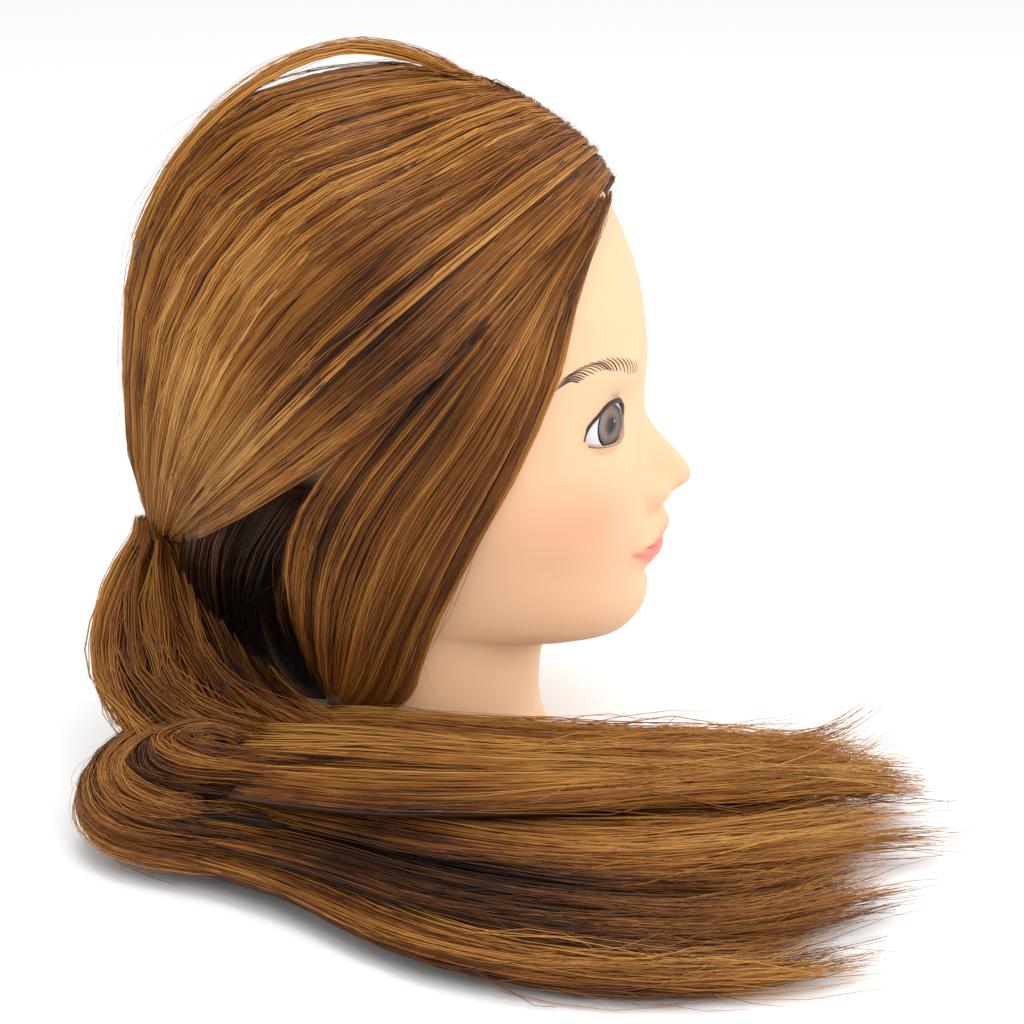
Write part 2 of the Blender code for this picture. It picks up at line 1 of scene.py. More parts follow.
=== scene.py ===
# %% [markdown]
# # A hairdresser's practice head
# This lesson dresses a finished mechanical model of a mannequin training head: a soft vinyl
# face and neck, acrylic eyes, and long synthetic hair that is tied at the nape and laid round
# on the table. The model of its parts is loaded first, and every piece made here rides on one
# of its bodies, so nothing is placed by eye.

# %% Load the frame
import json
import math

import bmesh
import bpy
import numpy as np
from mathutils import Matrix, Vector
from mathutils.bvhtree import BVHTree

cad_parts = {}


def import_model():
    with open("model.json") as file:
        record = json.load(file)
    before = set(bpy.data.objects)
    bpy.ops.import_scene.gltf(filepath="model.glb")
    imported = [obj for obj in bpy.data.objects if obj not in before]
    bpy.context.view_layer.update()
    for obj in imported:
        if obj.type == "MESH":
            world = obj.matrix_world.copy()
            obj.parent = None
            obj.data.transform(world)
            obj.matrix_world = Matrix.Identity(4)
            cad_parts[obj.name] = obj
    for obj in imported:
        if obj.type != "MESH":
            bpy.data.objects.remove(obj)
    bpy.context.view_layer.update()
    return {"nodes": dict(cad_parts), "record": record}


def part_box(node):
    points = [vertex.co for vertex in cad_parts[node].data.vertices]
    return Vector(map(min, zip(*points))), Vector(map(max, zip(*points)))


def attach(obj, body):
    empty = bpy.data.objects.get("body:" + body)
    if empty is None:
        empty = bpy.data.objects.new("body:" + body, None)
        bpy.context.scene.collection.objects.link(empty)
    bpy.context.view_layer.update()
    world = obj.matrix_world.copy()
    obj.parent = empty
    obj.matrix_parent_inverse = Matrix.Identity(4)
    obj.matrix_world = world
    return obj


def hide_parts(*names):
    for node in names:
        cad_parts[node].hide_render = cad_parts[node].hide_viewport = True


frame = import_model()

# %% [markdown]
# The head is drawn in millimetres round the axis of its neck, with the table at z = 0, the face
# along +X and the head's right side toward -Y. The base plate is round and sits on that axis, so
# the middle of its box says where the axis is, and `world` turns a drawing into metres.

# %% Millimetres to the frame
MM = 0.001
plate_low, plate_high = (np.array(painted_iris_refraction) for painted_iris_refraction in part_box("base_plate"))
AXIS = (plate_low + plate_high) / 2
AXIS[2] = plate_low[2]


def world(points):
    """Millimetres round the neck's axis to metres in the frame."""
    return np.asarray(points, float) * MM + AXIS


print("neck axis at", np.round(AXIS, 4))

# %% [markdown]
# Shader maths reads better as arithmetic than as a list of links. `Sock` wraps one socket and
# overloads the operators, and `Tree` makes nodes: its one method takes the node's type, its
# settings, and what goes into its sockets.

# %% Shader maths


class Sock:
    """A number coming out of a node, which can be used in arithmetic."""

    def __init__(self, tree, socket):
        self.tree = tree
        self.socket = socket

    def maths(self, operation, *values):
        return self.tree.node("ShaderNodeMath", {"operation": operation}, dict(enumerate(values)))

    def __add__(self, other):
        return self.maths("ADD", self, other)

    def __radd__(self, other):
        return self.maths("ADD", other, self)

    def __sub__(self, other):
        return self.maths("SUBTRACT", self, other)

    def __rsub__(self, other):
        return self.maths("SUBTRACT", other, self)

    def __mul__(self, other):
        return self.maths("MULTIPLY", self, other)

    def __rmul__(self, other):
        return self.maths("MULTIPLY", other, self)

    def __truediv__(self, other):
        return self.maths("DIVIDE", self, other)

    def __pow__(self, other):
        return self.maths("POWER", self, other)

    def clamped(self):
        return self.tree.node("ShaderNodeClamp", {}, {"Value": self})


class Tree:
    """A material, or a group of geometry nodes, being built."""

    def __init__(self, tree):
        self.tree = tree

    def node(self, kind, settings=None, values=None, out=0):
        new = self.tree.nodes.new(kind)
        for name, value in (settings or {}).items():
            if name == "stops":
                ramp = new.color_ramp
                while len(ramp.elements) < len(value):
                    ramp.elements.new(0.5)
                for element, (at, colour) in zip(ramp.elements, value):
                    element.position = at
                    element.color = (*colour, 1.0)
            else:
                setattr(new, name, value)
        for name, value in (values or {}).items():
            self.feed(new.inputs[name], value)
        return Sock(self, new.outputs[out])

    def feed(self, socket, value):
        if isinstance(value, Sock):
            self.tree.links.new(value.socket, socket)
        else:
            socket.default_value = value

    def attribute(self, name, out="Fac"):
        return self.node("ShaderNodeAttribute", {"attribute_name": name}, {}, out)

    def place(self):
        return self.node("ShaderNodeTexCoord", {}, {}, "Object")

    def noise(self, vector, scale, detail=2.0, rough=0.5):
        values = {"Vector": vector, "Scale": scale, "Detail": detail, "Roughness": rough}
        return self.node("ShaderNodeTexNoise", {}, values)

    def mix(self, share, a, b):
        values = {"Factor": share, 6: a, 7: b}
        return self.node("ShaderNodeMix", {"data_type": "RGBA"}, values, 2)

    def xyz(self, x, y, z=0.0):
        return self.node("ShaderNodeCombineXYZ", {}, {0: x, 1: y, 2: z})

    def vector(self, operation, values, out=0):
        return self.node("ShaderNodeVectorMath", {"operation": operation}, values, out)

    def stretched(self, vector, scale):
        return self.vector("MULTIPLY", {0: vector, 1: scale})

    def bump(self, height, distance, strength=1.0):
        values = {"Height": height, "Distance": distance, "Strength": strength}
        return self.node("ShaderNodeBump", {}, values)


def finish(name, **sockets):
    """A material whose Principled sockets are set, and its tree for whatever drives them."""
    material = bpy.data.materials.new(name)
    material.use_nodes = True
    shader = material.node_tree.nodes["Principled BSDF"]
    tree = Tree(material.node_tree)
    for key, value in sockets.items():
        tree.feed(shader.inputs[key.replace("_", " ")], value)
    return material, tree, shader


def rgb(red, green, blue):
    """An sRGB colour out of 255 as the linear light that shaders use."""
    return tuple(
        (c / 12.92 if c <= 0.04045 else ((c + 0.055) / 1.055) ** 2.4)
        for c in (red / 255, green / 255, blue / 255)
    )


def rgba(red, green, blue):
    return (*rgb(red, green, blue), 1.0)


print("shader helpers ready")

# %% [markdown]
# The room comes next, so that every draft can be looked at. A head like this is sold on a white
# ground: a pale floor that runs out of sight, soft light from all round, one large lamp in front
# and above, weaker ones over and beside it, a small one low before the face, and a camera a
# little above the crown, looking down 18 degrees at its right side.

# %% Camera, floor and light
CAMERA_TURN = math.radians(4.0)
CAMERA_DROP = math.radians(18.0)
CAMERA_DISTANCE = 1200.0
CAMERA_AIM = (42.0, 0.0, 100.0)
FRAME_WIDTH = 1024 * 0.38  # mm seen across the picture at the aim
SENSOR = 36.0
SKY_STRENGTH = 0.92
FLOOR_SIZE = 14.0
FLOOR_DROP = 0.0004  # keeps the floor clear of the base plate
LAMP_AIM = (0, 0, 130)
LAMPS = {  # where, how wide, how many watts
    "key": ((0.55, -1.5, 1.5), 1.1, 13.0),
    "catchlight": ((1.31, 0.22, 0.16), 0.12, 1.6),
    "top": ((-0.2, 0.1, 1.8), 0.9, 9.0),
    "fill": ((1.5, 0.5, 0.8), 1.2, 3.0),
}


def add_camera():
    data = bpy.data.cameras.new("camera")
    data.sensor_width = SENSOR
    data.lens = SENSOR * CAMERA_DISTANCE / FRAME_WIDTH
    data.clip_end = 20.0
    camera = bpy.data.objects.new("camera", data)
    bpy.context.collection.objects.link(camera)
    back = np.array([
        math.sin(CAMERA_TURN) * math.cos(CAMERA_DROP),
        -math.cos(CAMERA_TURN) * math.cos(CAMERA_DROP),
        math.sin(CAMERA_DROP),
    ])
    camera.location = world(np.array(CAMERA_AIM) + back * CAMERA_DISTANCE)
    camera.rotation_mode = "QUATERNION"
    camera.rotation_quaternion = Vector(-back).to_track_quat("-Z", "Y")
    bpy.context.scene.camera = camera
    return camera


def add_lamp(name, at, size, power):
    data = bpy.data.lights.new(name, "AREA")
    data.shape = "DISK"
    data.size = size
    data.energy = power
    lamp = bpy.data.objects.new(name, data)
    lamp.location = at
    aim = Vector(world(LAMP_AIM)) - Vector(at)
    lamp.rotation_mode = "QUATERNION"
    lamp.rotation_quaternion = aim.to_track_quat("-Z", "Y")
    bpy.context.collection.objects.link(lamp)


def add_room():
    sky = bpy.data.worlds.new("studio")
    sky.use_nodes = True
    background = sky.node_tree.nodes["Background"]
    background.inputs["Color"].default_value = (1.0, 1.0, 1.0, 1.0)
    background.inputs["Strength"].default_value = SKY_STRENGTH
    bpy.context.scene.view_settings.view_transform = "Standard"
    bpy.context.scene.world = sky
    bpy.ops.mesh.primitive_plane_add(size=FLOOR_SIZE, location=(0.0, 0.0, -FLOOR_DROP))
    floor = bpy.context.object
    floor.name = "floor"
    paint, _, _ = finish("floor_paint", Base_Color=(0.93, 0.93, 0.93, 1.0), Roughness=0.9)
    floor.data.materials.append(paint)
    for name, (at, size, power) in LAMPS.items():
        add_lamp(name, at, size, power)


print("lens", round(add_camera().data.lens, 1))
add_room()

# %% [markdown]
# The head is a soft vinyl casting. Its form is drawn as slices: each slice runs from a point on
# the front outline to one on the back outline, with a half width, and a smooth curve through the
# slices gives as many as the mesh wants. The slices tilt, because the jaw hangs over the neck.
# The same numbers made the mechanical part, so the two agree everywhere.

# %% The head's form
ROWS = [
    (59.5, 0.4, -59.5, 0.4, 59.5, 0.50),
    (57.5, 8.0, -57.5, 8.0, 57.5, 0.50),
    (53.0, 22.0, -53.5, 24.0, 53.0, 0.50),
    (52.5, 36.0, -54.5, 42.0, 51.5, 0.50),
    (54.5, 49.0, -59.0, 64.0, 51.5, 0.51),
    (62.0, 55.5, -65.0, 82.0, 52.0, 0.51),
    (75.0, 56.0, -70.0, 94.0, 53.0, 0.50),
    (85.0, 58.0, -74.5, 104.0, 54.5, 0.49),
    (90.5, 64.0, -78.0, 112.0, 56.5, 0.48),
    (92.5, 72.0, -81.0, 121.0, 59.0, 0.47),
    (92.5, 82.0, -84.0, 131.0, 62.0, 0.47),
    (94.0, 94.0, -86.5, 142.0, 65.0, 0.48),
    (94.0, 107.0, -88.5, 153.0, 67.5, 0.49),
    (92.5, 120.0, -89.5, 164.0, 69.5, 0.50),
    (91.0, 133.0, -90.0, 174.0, 71.0, 0.50),
    (91.3, 146.0, -90.0, 184.0, 72.0, 0.50),
    (92.5, 160.0, -89.0, 194.0, 73.0, 0.49),
    (92.0, 173.0, -87.0, 204.0, 73.5, 0.48),
    (90.0, 187.0, -83.5, 214.0, 73.0, 0.47),
    (86.0, 201.0, -78.5, 224.0, 71.0, 0.46),
    (80.0, 215.0, -71.0, 234.0, 67.0, 0.46),
    (71.5, 228.5, -61.5, 243.0, 60.0, 0.46),
    (59.0, 241.0, -49.5, 250.5, 50.5, 0.46),
    (42.5, 251.5, -35.5, 256.5, 37.5, 0.47),
    (22.0, 258.5, -20.0, 260.0, 20.5, 0.48),
]
CROWN = (0.5, 0.0, 261.5)
ROUNDNESS = 2 / 2.15
SKIN_WALL = 3.2
RIM_Z = 0.4
EYE_R = 14.2
EYE_CENTRE = np.array([70.5, 31.0, 146.0])
LID = 1.5


def smooth_path(points, count):
    """count points along a Catmull-Rom curve through points."""
    p = np.array(points, float)
    p = np.concatenate([[2 * p[0] - p[1]], p, [2 * p[-1] - p[-2]]])
    spans = len(p) - 3
    t = np.linspace(0, spans, count)
    i = np.minimum(t.astype(int), spans - 1)
    f = (t - i).reshape((-1,) + (1,) * (p.ndim - 1))
    a, b, c, d = p[i], p[i + 1], p[i + 2], p[i + 3]
    square = (2 * a - 5 * b + 4 * c - d) * f**2
    cube = (3 * b - a - 3 * c + d) * f**3
    return 0.5 * (2 * b + (c - a) * f + square + cube)


def plain_form(rows, columns, density=1.25):
    """A grid of points on the bare form, and the angle of each column, 0 at the face."""
    half = columns // 2
    first = math.pi * (np.arange(half) / half) ** density
    angles = np.concatenate([first, [math.pi], 2 * math.pi - first[:0:-1]])
    front_x, front_z, back_x, back_z, wide, widest = smooth_path(ROWS, rows).T[:, :, None]
    cos, sin = np.cos(angles)[None, :], np.sin(angles)[None, :]
    along = np.sign(cos) * np.abs(cos) ** ROUNDNESS
    share = widest + np.where(cos > 0, 1 - widest, widest) * along
    x = back_x + (front_x - back_x) * share
    y = -wide * np.sign(sin) * np.abs(sin) ** ROUNDNESS
    z = back_z + (front_z - back_z) * share
    return np.stack([x, y, z], axis=2), angles


def outward(grid):
    """The direction straight out of the form at each of its points."""
    round_it = np.roll(grid, -1, axis=1) - np.roll(grid, 1, axis=1)
    normal = np.cross(round_it, np.gradient(grid, axis=0))
    normal /= np.linalg.norm(normal, axis=2, keepdims=True)
    return normal * np.sign(normal[len(grid) // 2, 0, 0])


bare, _ = plain_form(60, 72)
print("bare form", np.round(np.ptp(bare.reshape(-1, 3), axis=0), 1), "mm")

# %% [markdown]
# The features are added to the form as heights: every point of the face moves forward or back by
# a sum of soft bumps that depend only on how far it is from the middle and how high it sits. The
# nose follows its outline down the middle and falls away to the sides. The lids need no drawing:
# a point that would lie inside the eye is pushed out onto it, as soft vinyl would be.

# %% Features
EYE_TURN = math.radians(31.0)
IRIS_R = 7.8
NOSE = [(106, 0.0), (108, 2.6), (110, 6.6), (112.5, 12.0), (115, 15.6), (118, 16.4), (122, 14.9)]
NOSE += [(126, 12.2), (130, 8.7), (134, 5.4), (138, 2.6), (142, 1.1), (148, 0.4), (156, 0.0)]
NOSE_WIDTH = [(106, 8.5), (111, 9.5), (116, 9.8), (122, 8.2), (130, 7.0), (142, 6.2)]


def bump(y, z, at_y, at_z, wide, tall, power=2.0):
    """1 at a place on both sides of the face, falling off over wide and tall."""
    return np.exp(-np.abs((np.abs(y) - at_y) / wide) ** power - np.abs((z - at_z) / tall) ** power)


def listed(z, table):
    """A smooth value read from a short table of (height, value)."""
    fine = smooth_path(table, 80)
    return np.interp(z, fine[:, 0], fine[:, 1])


def mouth_line(y):
    """How high the line between the lips lies: a little lower at the corners."""
    return 92.3 - 1.2 * np.minimum(np.abs(y) / 23, 1.2) ** 2 + 0.5 * bump(y, 0, 5, 0, 4, 1)


def upper_edge(y):
    """The top of the upper lip, with its bow."""
    side = np.minimum(np.abs(y) / 24, 1.0)
    return 99.6 + 0.9 * bump(y, 0, 5, 0, 3.4, 1) - 8.6 * side**1.7


def lower_edge(y):
    side = np.minimum(np.abs(y) / 24, 1.0)
    return 82.4 + 8.2 * side**2.2


def raised(y, z):
    """Nose, lips, chin, cheeks and brow."""
    out = listed(z, NOSE) * np.exp(-((np.abs(y) / listed(z, NOSE_WIDTH)) ** 2.3))
    out += 6.6 * bump(y, z, 12.6, 111.5, 4.6, 5.2, 2.4)
    out -= 3.4 * bump(y, z, 6.4, 107.6, 3.0, 1.9)
    out -= 0.9 * bump(y, z, 18.0, 112.5, 2.4, 6.0)
    out += 4.0 * bump(y, z, 0, 95, 22, 13)
    out += 3.2 * bump(y, z, 0, 105.5, 5.5, 4.5)
    out -= 0.7 * bump(y, z, 0, 103, 2.2, 4.0)
    reach = np.clip(1 - (np.abs(y) / 24.5) ** 2, 0, 1) ** 0.8
    line = mouth_line(y)
    upper = (z - line) / np.maximum(upper_edge(y) - line, 0.8)
    lower = (line - z) / np.maximum(line - lower_edge(y), 0.8)
    out += 3.7 * reach * np.exp(-(((upper - 0.72) / 0.62) ** 2)) * (z > line)
    out += 3.0 * reach * np.exp(-(((lower - 0.45) / 0.55) ** 2)) * (z <= line)
    out -= 1.5 * bump(y, z - line, 0, 0, 24, 1.1)
    out -= 1.2 * bump(y, z, 0, 79, 12, 3.5)
    out += 1.3 * bump(y, z, 0, 69, 13, 8)
    out += 1.6 * bump(y, z, 40, 120, 15, 15)
    out += 1.0 * bump(y, z, 26, 164, 18, 6)
    return out


def sunk(y, z):
    return 5.0 * bump(y, z, 26, 148, 13, 10) + 1.2 * bump(y, z, 27, 93, 5, 7)


def lift_lids(points):
    for side in (-1, 1):
        eye = EYE_CENTRE * (1, side, 1)
        away = points - eye
        distance = np.linalg.norm(away, axis=-1, keepdims=True)
        near = (distance < EYE_R + LID) & (away[..., :1] > -4)
        points[:] = np.where(near, eye + away * (EYE_R + LID) / distance, points)


def head_grid(rows, columns, inset, features):
    plain, angles = plain_form(rows, columns, 1.4)
    grid = plain - outward(plain) * inset
    share = np.clip(np.cos(angles)[None, :] * 2, 0, 1)
    y, z = plain[..., 1], plain[..., 2]
    grid[..., 0] -= sunk(y, z) * share
    if features:
        grid[..., 0] += raised(y, z) * share
        lift_lids(grid)
    else:
        grid[0, :, 2] = RIM_Z
    return grid


def dome_faces(rows, columns, start=0, flip=False):
    """Faces of a round grid whose last point, after the grid, is its top."""
    faces = []
    last = (rows - 1) * columns
    for low in range(0, last, columns):
        for j in range(columns):
            k = (j + 1) % columns
            faces.append((low + j, low + k, low + columns + k, low + columns + j))
    faces += [(last + j, last + (j + 1) % columns, rows * columns) for j in range(columns)]
    return [tuple(start + v for v in (reversed(f) if flip else f)) for f in faces]


def mesh_piece(name, points, faces, material, body="head"):
    """A mesh from points in millimetres, riding on a body, with its faces turned outward."""
    mesh = bpy.data.meshes.new(name)
    mesh.from_pydata(world(points).tolist(), [], faces)
    bm = bmesh.new()
    bm.from_mesh(mesh)
    bmesh.ops.recalc_face_normals(bm, faces=bm.faces)
    if bm.calc_volume(signed=True) < 0:
        bmesh.ops.reverse_faces(bm, faces=bm.faces)
    bm.to_mesh(mesh)
    bm.free()
    mesh.shade_smooth()
    mesh.materials.append(material)
    piece = bpy.data.objects.new(name, mesh)
    bpy.context.collection.objects.link(piece)
    if body:
        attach(piece, body)
    return piece


print("nose stands out", round(float(raised(np.array(0.0), np.array(118.0))), 1), "mm")

# %% [markdown]
# The eye sits turned a little outward. The gap between the lids is drawn flat, in the plane that
# the eye looks out of: across toward the temple, and up. An extruded cutter of that almond shape
# opens the skin with a Boolean, which leaves a crisp lid edge as thick as the vinyl. A ball a
# little larger than the eye hollows the back of the lids.

# %% Lids
UPPER_LID = [(12.9, -3.6), (11.3, 1.8), (7.8, 5.2), (3.1, 7.8), (-2.8, 8.0), (-8.6, 6.0)]
UPPER_LID += [(-12.6, 1.0)]
LOWER_LID = [(-11.6, -3.4), (-5.8, -6.0), (1.2, -6.6), (7.6, -6.2), (11.2, -5.2)]
ALMOND = UPPER_LID + LOWER_LID
CUT_FROM_TO = (2.0, 30.0)  # how far before the eye's middle the cutter starts and ends
EYE_GAP = 0.35  # between the ball and the skin behind the lids


def eye_axes(side):
    """The way an eye looks, the way across it toward the temple, and up."""
    look = np.array([math.cos(EYE_TURN), side * math.sin(EYE_TURN), 0.0])
    temple = np.array([-math.sin(EYE_TURN), side * math.cos(EYE_TURN), 0.0])
    return look, temple, np.array([0.0, 0.0, 1.0])


def almond(count):
    ring = smooth_path(ALMOND + ALMOND[:1], count * 3)
    return ring[:-1:3]


def cutter(name, points, faces):
    return mesh_piece(name, points, faces, cutter_paint, body=None)


def almond_cutter(side):
    look, temple, up = eye_axes(side)
    outline = almond(40)
    count = len(outline)
    rings = []
    for depth in CUT_FROM_TO:
        for a, b in outline:
            rings.append(EYE_CENTRE * (1, side, 1) + look * depth + temple * a + up * b)
    faces = [tuple(range(count)), tuple(range(2 * count - 1, count - 1, -1))]
    faces += [(i, (i + 1) % count, count + (i + 1) % count, count + i) for i in range(count)]
    return cutter(f"almond_{side}", rings, faces)


def ring(radius, z, segments):
    turns = [2 * math.pi * j / segments for j in range(segments)]
    return [(radius * math.cos(a), radius * math.sin(a), z) for a in turns]


def polar_faces(rings, segments):
    """Faces of rings of points that have one pole before them and one after."""
    pairs = [(j, (j + 1) % segments) for j in range(segments)]
    faces = [(0, 1 + j, 1 + k) for j, k in pairs]
    last_ring = 1 + (rings - 1) * segments
    for a in range(1, last_ring, segments):
        b = a + segments
        faces += [(a + j, b + j, b + k, a + k) for j, k in pairs]
    pole = last_ring + segments
    return faces + [(pole, last_ring + k, last_ring + j) for j, k in pairs]


def ball_points(radius, rings, segments):
    """A ball as a polar grid with two poles along +Z."""
    points = [(0.0, 0.0, radius)]
    for i in range(1, rings):
        t = math.pi * i / rings
        points += ring(radius * math.sin(t), radius * math.cos(t), segments)
    points.append((0.0, 0.0, -radius))
    return np.array(points), polar_faces(rings - 1, segments)


def ball_cutter(side, radius):
    points, faces = ball_points(radius, 32, 64)
    return cutter(f"ball_{side}", points + EYE_CENTRE * (1, side, 1), faces)


cutter_paint, _, _ = finish("cutter_paint")


def applied(ob):
    """ob's evaluated mesh in place of its modifiers."""
    graph = bpy.context.evaluated_depsgraph_get()
    mesh = bpy.data.meshes.new_from_object(ob.evaluated_get(graph))
    ob.modifiers.clear()
    ob.data = mesh


def make_skin(material, rows=190, columns=180, inner_rows=60):
    outer = head_grid(rows, columns, 0.0, True)
    inner = head_grid(inner_rows, columns, SKIN_WALL, False)
    top = np.array(CROWN)
    points = np.concatenate([
        outer.reshape(-1, 3), [top], inner.reshape(-1, 3), [top - (0, 0, SKIN_WALL)]
    ])
    start = rows * columns + 1
    faces = dome_faces(rows, columns) + dome_faces(inner_rows, columns, start, True)
    faces += [((j + 1) % columns, j, start + j, start + (j + 1) % columns) for j in range(columns)]
    skin = mesh_piece("soft_skin", points, faces, material)
    tools = []
    for side in (-1, 1):
        tools += [almond_cutter(side), ball_cutter(side, EYE_R + EYE_GAP)]
    for tool in tools:
        boolean = skin.modifiers.new("cut", "BOOLEAN")
        boolean.operation = "DIFFERENCE"
        boolean.solver = "EXACT"
        boolean.object = tool
    applied(skin)
    for tool in tools:
        bpy.data.objects.remove(tool, do_unlink=True)
    skin.data.shade_smooth()
    skin.data.set_sharp_from_angle(angle=math.radians(45))
    return skin


def point_values(piece, values):
    for name, data in values.items():
        layer = piece.data.attributes.new(name, "FLOAT", "POINT")
        layer.data.foreach_set("value", np.asarray(data, np.float32))


def paint_masks(skin):
    """Attributes that say where the make-up is."""
    mesh = skin.data
    count = len(mesh.vertices)
    flat = np.zeros(count * 3)
    mesh.vertices.foreach_get("co", flat)
    point = (flat.reshape(-1, 3) - AXIS) / MM
    x, y, z = point.T
    front = x > 60
    line = mouth_line(y)
    upper = np.clip((upper_edge(y) - z) / 0.9, 0, 1) * np.clip((z - line + 0.6) / 0.6, 0, 1)
    lower = np.clip((z - lower_edge(y)) / 1.6, 0, 1) * np.clip((line - z + 0.6) / 0.6, 0, 1)
    reach = np.clip((23.8 - np.abs(y)) / 1.5, 0, 1)
    lips = np.maximum(upper * 0.62, lower) * reach * front
    shade = np.zeros(count)
    warm = np.zeros(count)
    for side in (-1, 1):
        look, temple, up = eye_axes(side)
        away = point - EYE_CENTRE * (1, side, 1)
        a, b, depth = away @ temple, away @ up, away @ look
        near = (depth > 0) & (np.abs(y - side * 31) < 26)
        rise = b - np.interp(a, *zip(*UPPER_LID[::-1]))
        fade = 1.6 * np.exp(-np.clip(rise, 0, 99) / 2.6) * np.exp(-(((a + 5.0) / 7.5) ** 2))
        shade = np.maximum(shade, fade * near * (rise > -2.5))
        rim = np.exp(-np.clip(rise, 0, 9) / 1.6) * (rise > -2) * np.clip((15 - np.abs(a)) / 3, 0, 1)
        warm = np.maximum(warm, rim * near * 0.4)
    blush = bump(y, z, 44, 112, 17, 15) * (x > 20) + 0.5 * bump(y, z, 0, 116, 11, 8) * front
    seam = bump(y, z - line, 0, 0, 20, 0.55) * front
    masks = {"lips": lips, "shade": shade, "warm": warm, "blush": blush, "seam": seam}
    point_values(skin, masks)


# %% [markdown]
# The vinyl is a fair peach, warmer on the cheeks, with soft lips and a touch of grey shadow
# sprayed over the lids. A casting has a faint unevenness that the light finds, so two noises
# carry it: a broad one for colour and a very fine one for bump.

# %% Vinyl


def make_vinyl():
    material, tree, shader = finish("vinyl", Subsurface_Weight=0.12, Subsurface_Scale=0.004)
    shader.inputs["Subsurface Radius"].default_value = (1.0, 0.45, 0.25)
    place = tree.place()
    cloud = tree.noise(place, 22.0, 3.0)
    grain = tree.noise(place, 1400.0, 2.0, 0.7)
    colour = tree.mix(cloud, rgba(245, 194, 152), rgba(249, 203, 163))
    colour = tree.mix(tree.attribute("blush") * 0.55, colour, rgba(238, 172, 134))
    colour = tree.mix(tree.attribute("warm") * 0.75, colour, rgba(120, 62, 46))
    colour = tree.mix(tree.attribute("shade").clamped() * 0.8, colour, rgba(86, 84, 96))
    colour = tree.mix(tree.attribute("lips") * 0.95, colour, rgba(244, 134, 116))
    colour = tree.mix(tree.attribute("seam") * 0.7, colour, rgba(176, 84, 74))
    tree.feed(shader.inputs["Base Color"], colour)
    tree.feed(shader.inputs["Roughness"], 0.5 + 0.12 * cloud - 0.15 * tree.attribute("lips"))
    tree.feed(shader.inputs["Normal"], tree.bump(grain, 0.0002, 0.12))
    return material


skin = make_skin(make_vinyl())
paint_masks(skin)
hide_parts("head_skin")
print("skin", len(skin.data.polygons), "faces")

# %% [markdown]
# Each eye is a white acrylic ball with a printed disc let into it under a clear dome. The ball is
# turned so that its pole looks out of the lids, which makes the iris a set of rings about the
# pole: an attribute holds how far round from the pole each point is, and a ramp colours it.

# %% Eyes
BED_GAP = 0.25  # round the printed disc, in the ball
BED_DEPTH = 0.9
PRINT_TOP, PRINT_FALL, PRINT_BACK = 0.75, 0.25, 0.2  # the disc over its bed
CORNEA_RISE, CORNEA_BACK = 0.55, 0.95  # the dome over the ball, and its back over the bed
SPOKES = 72


def polar_frame(side):
    look, temple, up = eye_axes(side)
    return np.array([temple * -side, up, look])


def make_ball_material():
    material, tree, shader = finish("acrylic_white", Roughness=0.12, Coat_Weight=0.6)
    place = tree.place()
    veins = tree.noise(place, 160.0, 4.0, 0.6)
    colour = tree.mix(veins, rgba(238, 239, 246), rgba(226, 229, 240))
    # the inner corner is painted brown: a painted refraction of the iris seen through the rim of
    # the dome
    colour = tree.mix(tree.attribute("inner").clamped(), colour, rgba(96, 66, 48))
    tree.feed(shader.inputs["Base Color"], colour)
    return material


def make_iris_material():
    material, tree, shader = finish("iris_print", Roughness=0.6)
    shader.inputs["Specular IOR Level"].default_value = 0.1
    radius, angle = tree.attribute("radius"), tree.attribute("spoke")
    fibres = tree.noise(tree.xyz(angle * 26.0, radius * 2.5), 1.6, 4.0, 0.7)
    ramp = tree.node(
        "ShaderNodeValToRGB",
        {"stops": [
            (0.0, rgb(16, 14, 15)), (0.30, rgb(20, 17, 17)), (0.37, rgb(96, 76, 62)),
            (0.62, rgb(150, 128, 112)), (0.84, rgb(120, 106, 98)), (0.92, rgb(52, 44, 42)),
            (0.97, rgb(30, 28, 30)),
        ]},
        {"Fac": radius},
    )
    colour = tree.mix(fibres * 0.55, ramp, rgba(40, 34, 32))
    tree.feed(shader.inputs["Base Color"], colour)
    return material


def make_clear_material():
    material, _, _ = finish(
        "acrylic_clear", Base_Color=(1.0, 1.0, 1.0, 1.0), Roughness=0.0, IOR=1.02,
        Transmission_Weight=1.0, Coat_Weight=0.4, Coat_Roughness=0.04,
    )
    return material


def make_ball(side, name, material, axes, centre, bed):
    points, faces = ball_points(EYE_R, 60, SPOKES)
    let_in = (points[:, 2] > 0) & (np.hypot(points[:, 0], points[:, 1]) < IRIS_R + BED_GAP)
    points[:, 2] = np.where(let_in, np.minimum(points[:, 2], bed), points[:, 2])
    look, temple, _ = eye_axes(side)
    placed = points @ axes
    ball = mesh_piece(f"eyeball_{name}", placed + centre, faces, material)
    # brown painted at the inner corner, a painted refraction of the iris seen through the dome's
    # rim
    painted_iris_refraction = np.clip((-(placed @ temple) - 6.6) / 0.8, 0, 1)
    point_values(ball, {"inner": painted_iris_refraction * (placed @ look > 0)})
    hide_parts(f"eye_{name}")


def make_iris(name, material, axes, centre, bed, rings=16):
    disc = [(0.0, 0.0, bed + PRINT_TOP)]
    radius, spoke = [0.0], [0.0]
    for i in range(1, rings + 1):
        disc += ring(IRIS_R * i / rings, bed + PRINT_TOP - PRINT_FALL * i / rings, SPOKES)
        radius += [i / rings] * SPOKES
        spoke += [abs(2 * j / SPOKES - 1) for j in range(SPOKES)]
    back = bed + PRINT_BACK
    disc += [(x, y, back) for x, y, _ in disc[-SPOKES:]] + [(0.0, 0.0, back)]
    radius += [1.0] * SPOKES + [0.0]
    spoke += spoke[-SPOKES:] + [0.0]
    points, faces = np.array(disc) @ axes + centre, polar_faces(rings + 1, SPOKES)
    iris = mesh_piece(f"iris_disc_{name}", points, faces, material)
    point_values(iris, {"radius": radius, "spoke": spoke})
    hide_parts(f"iris_{name}")


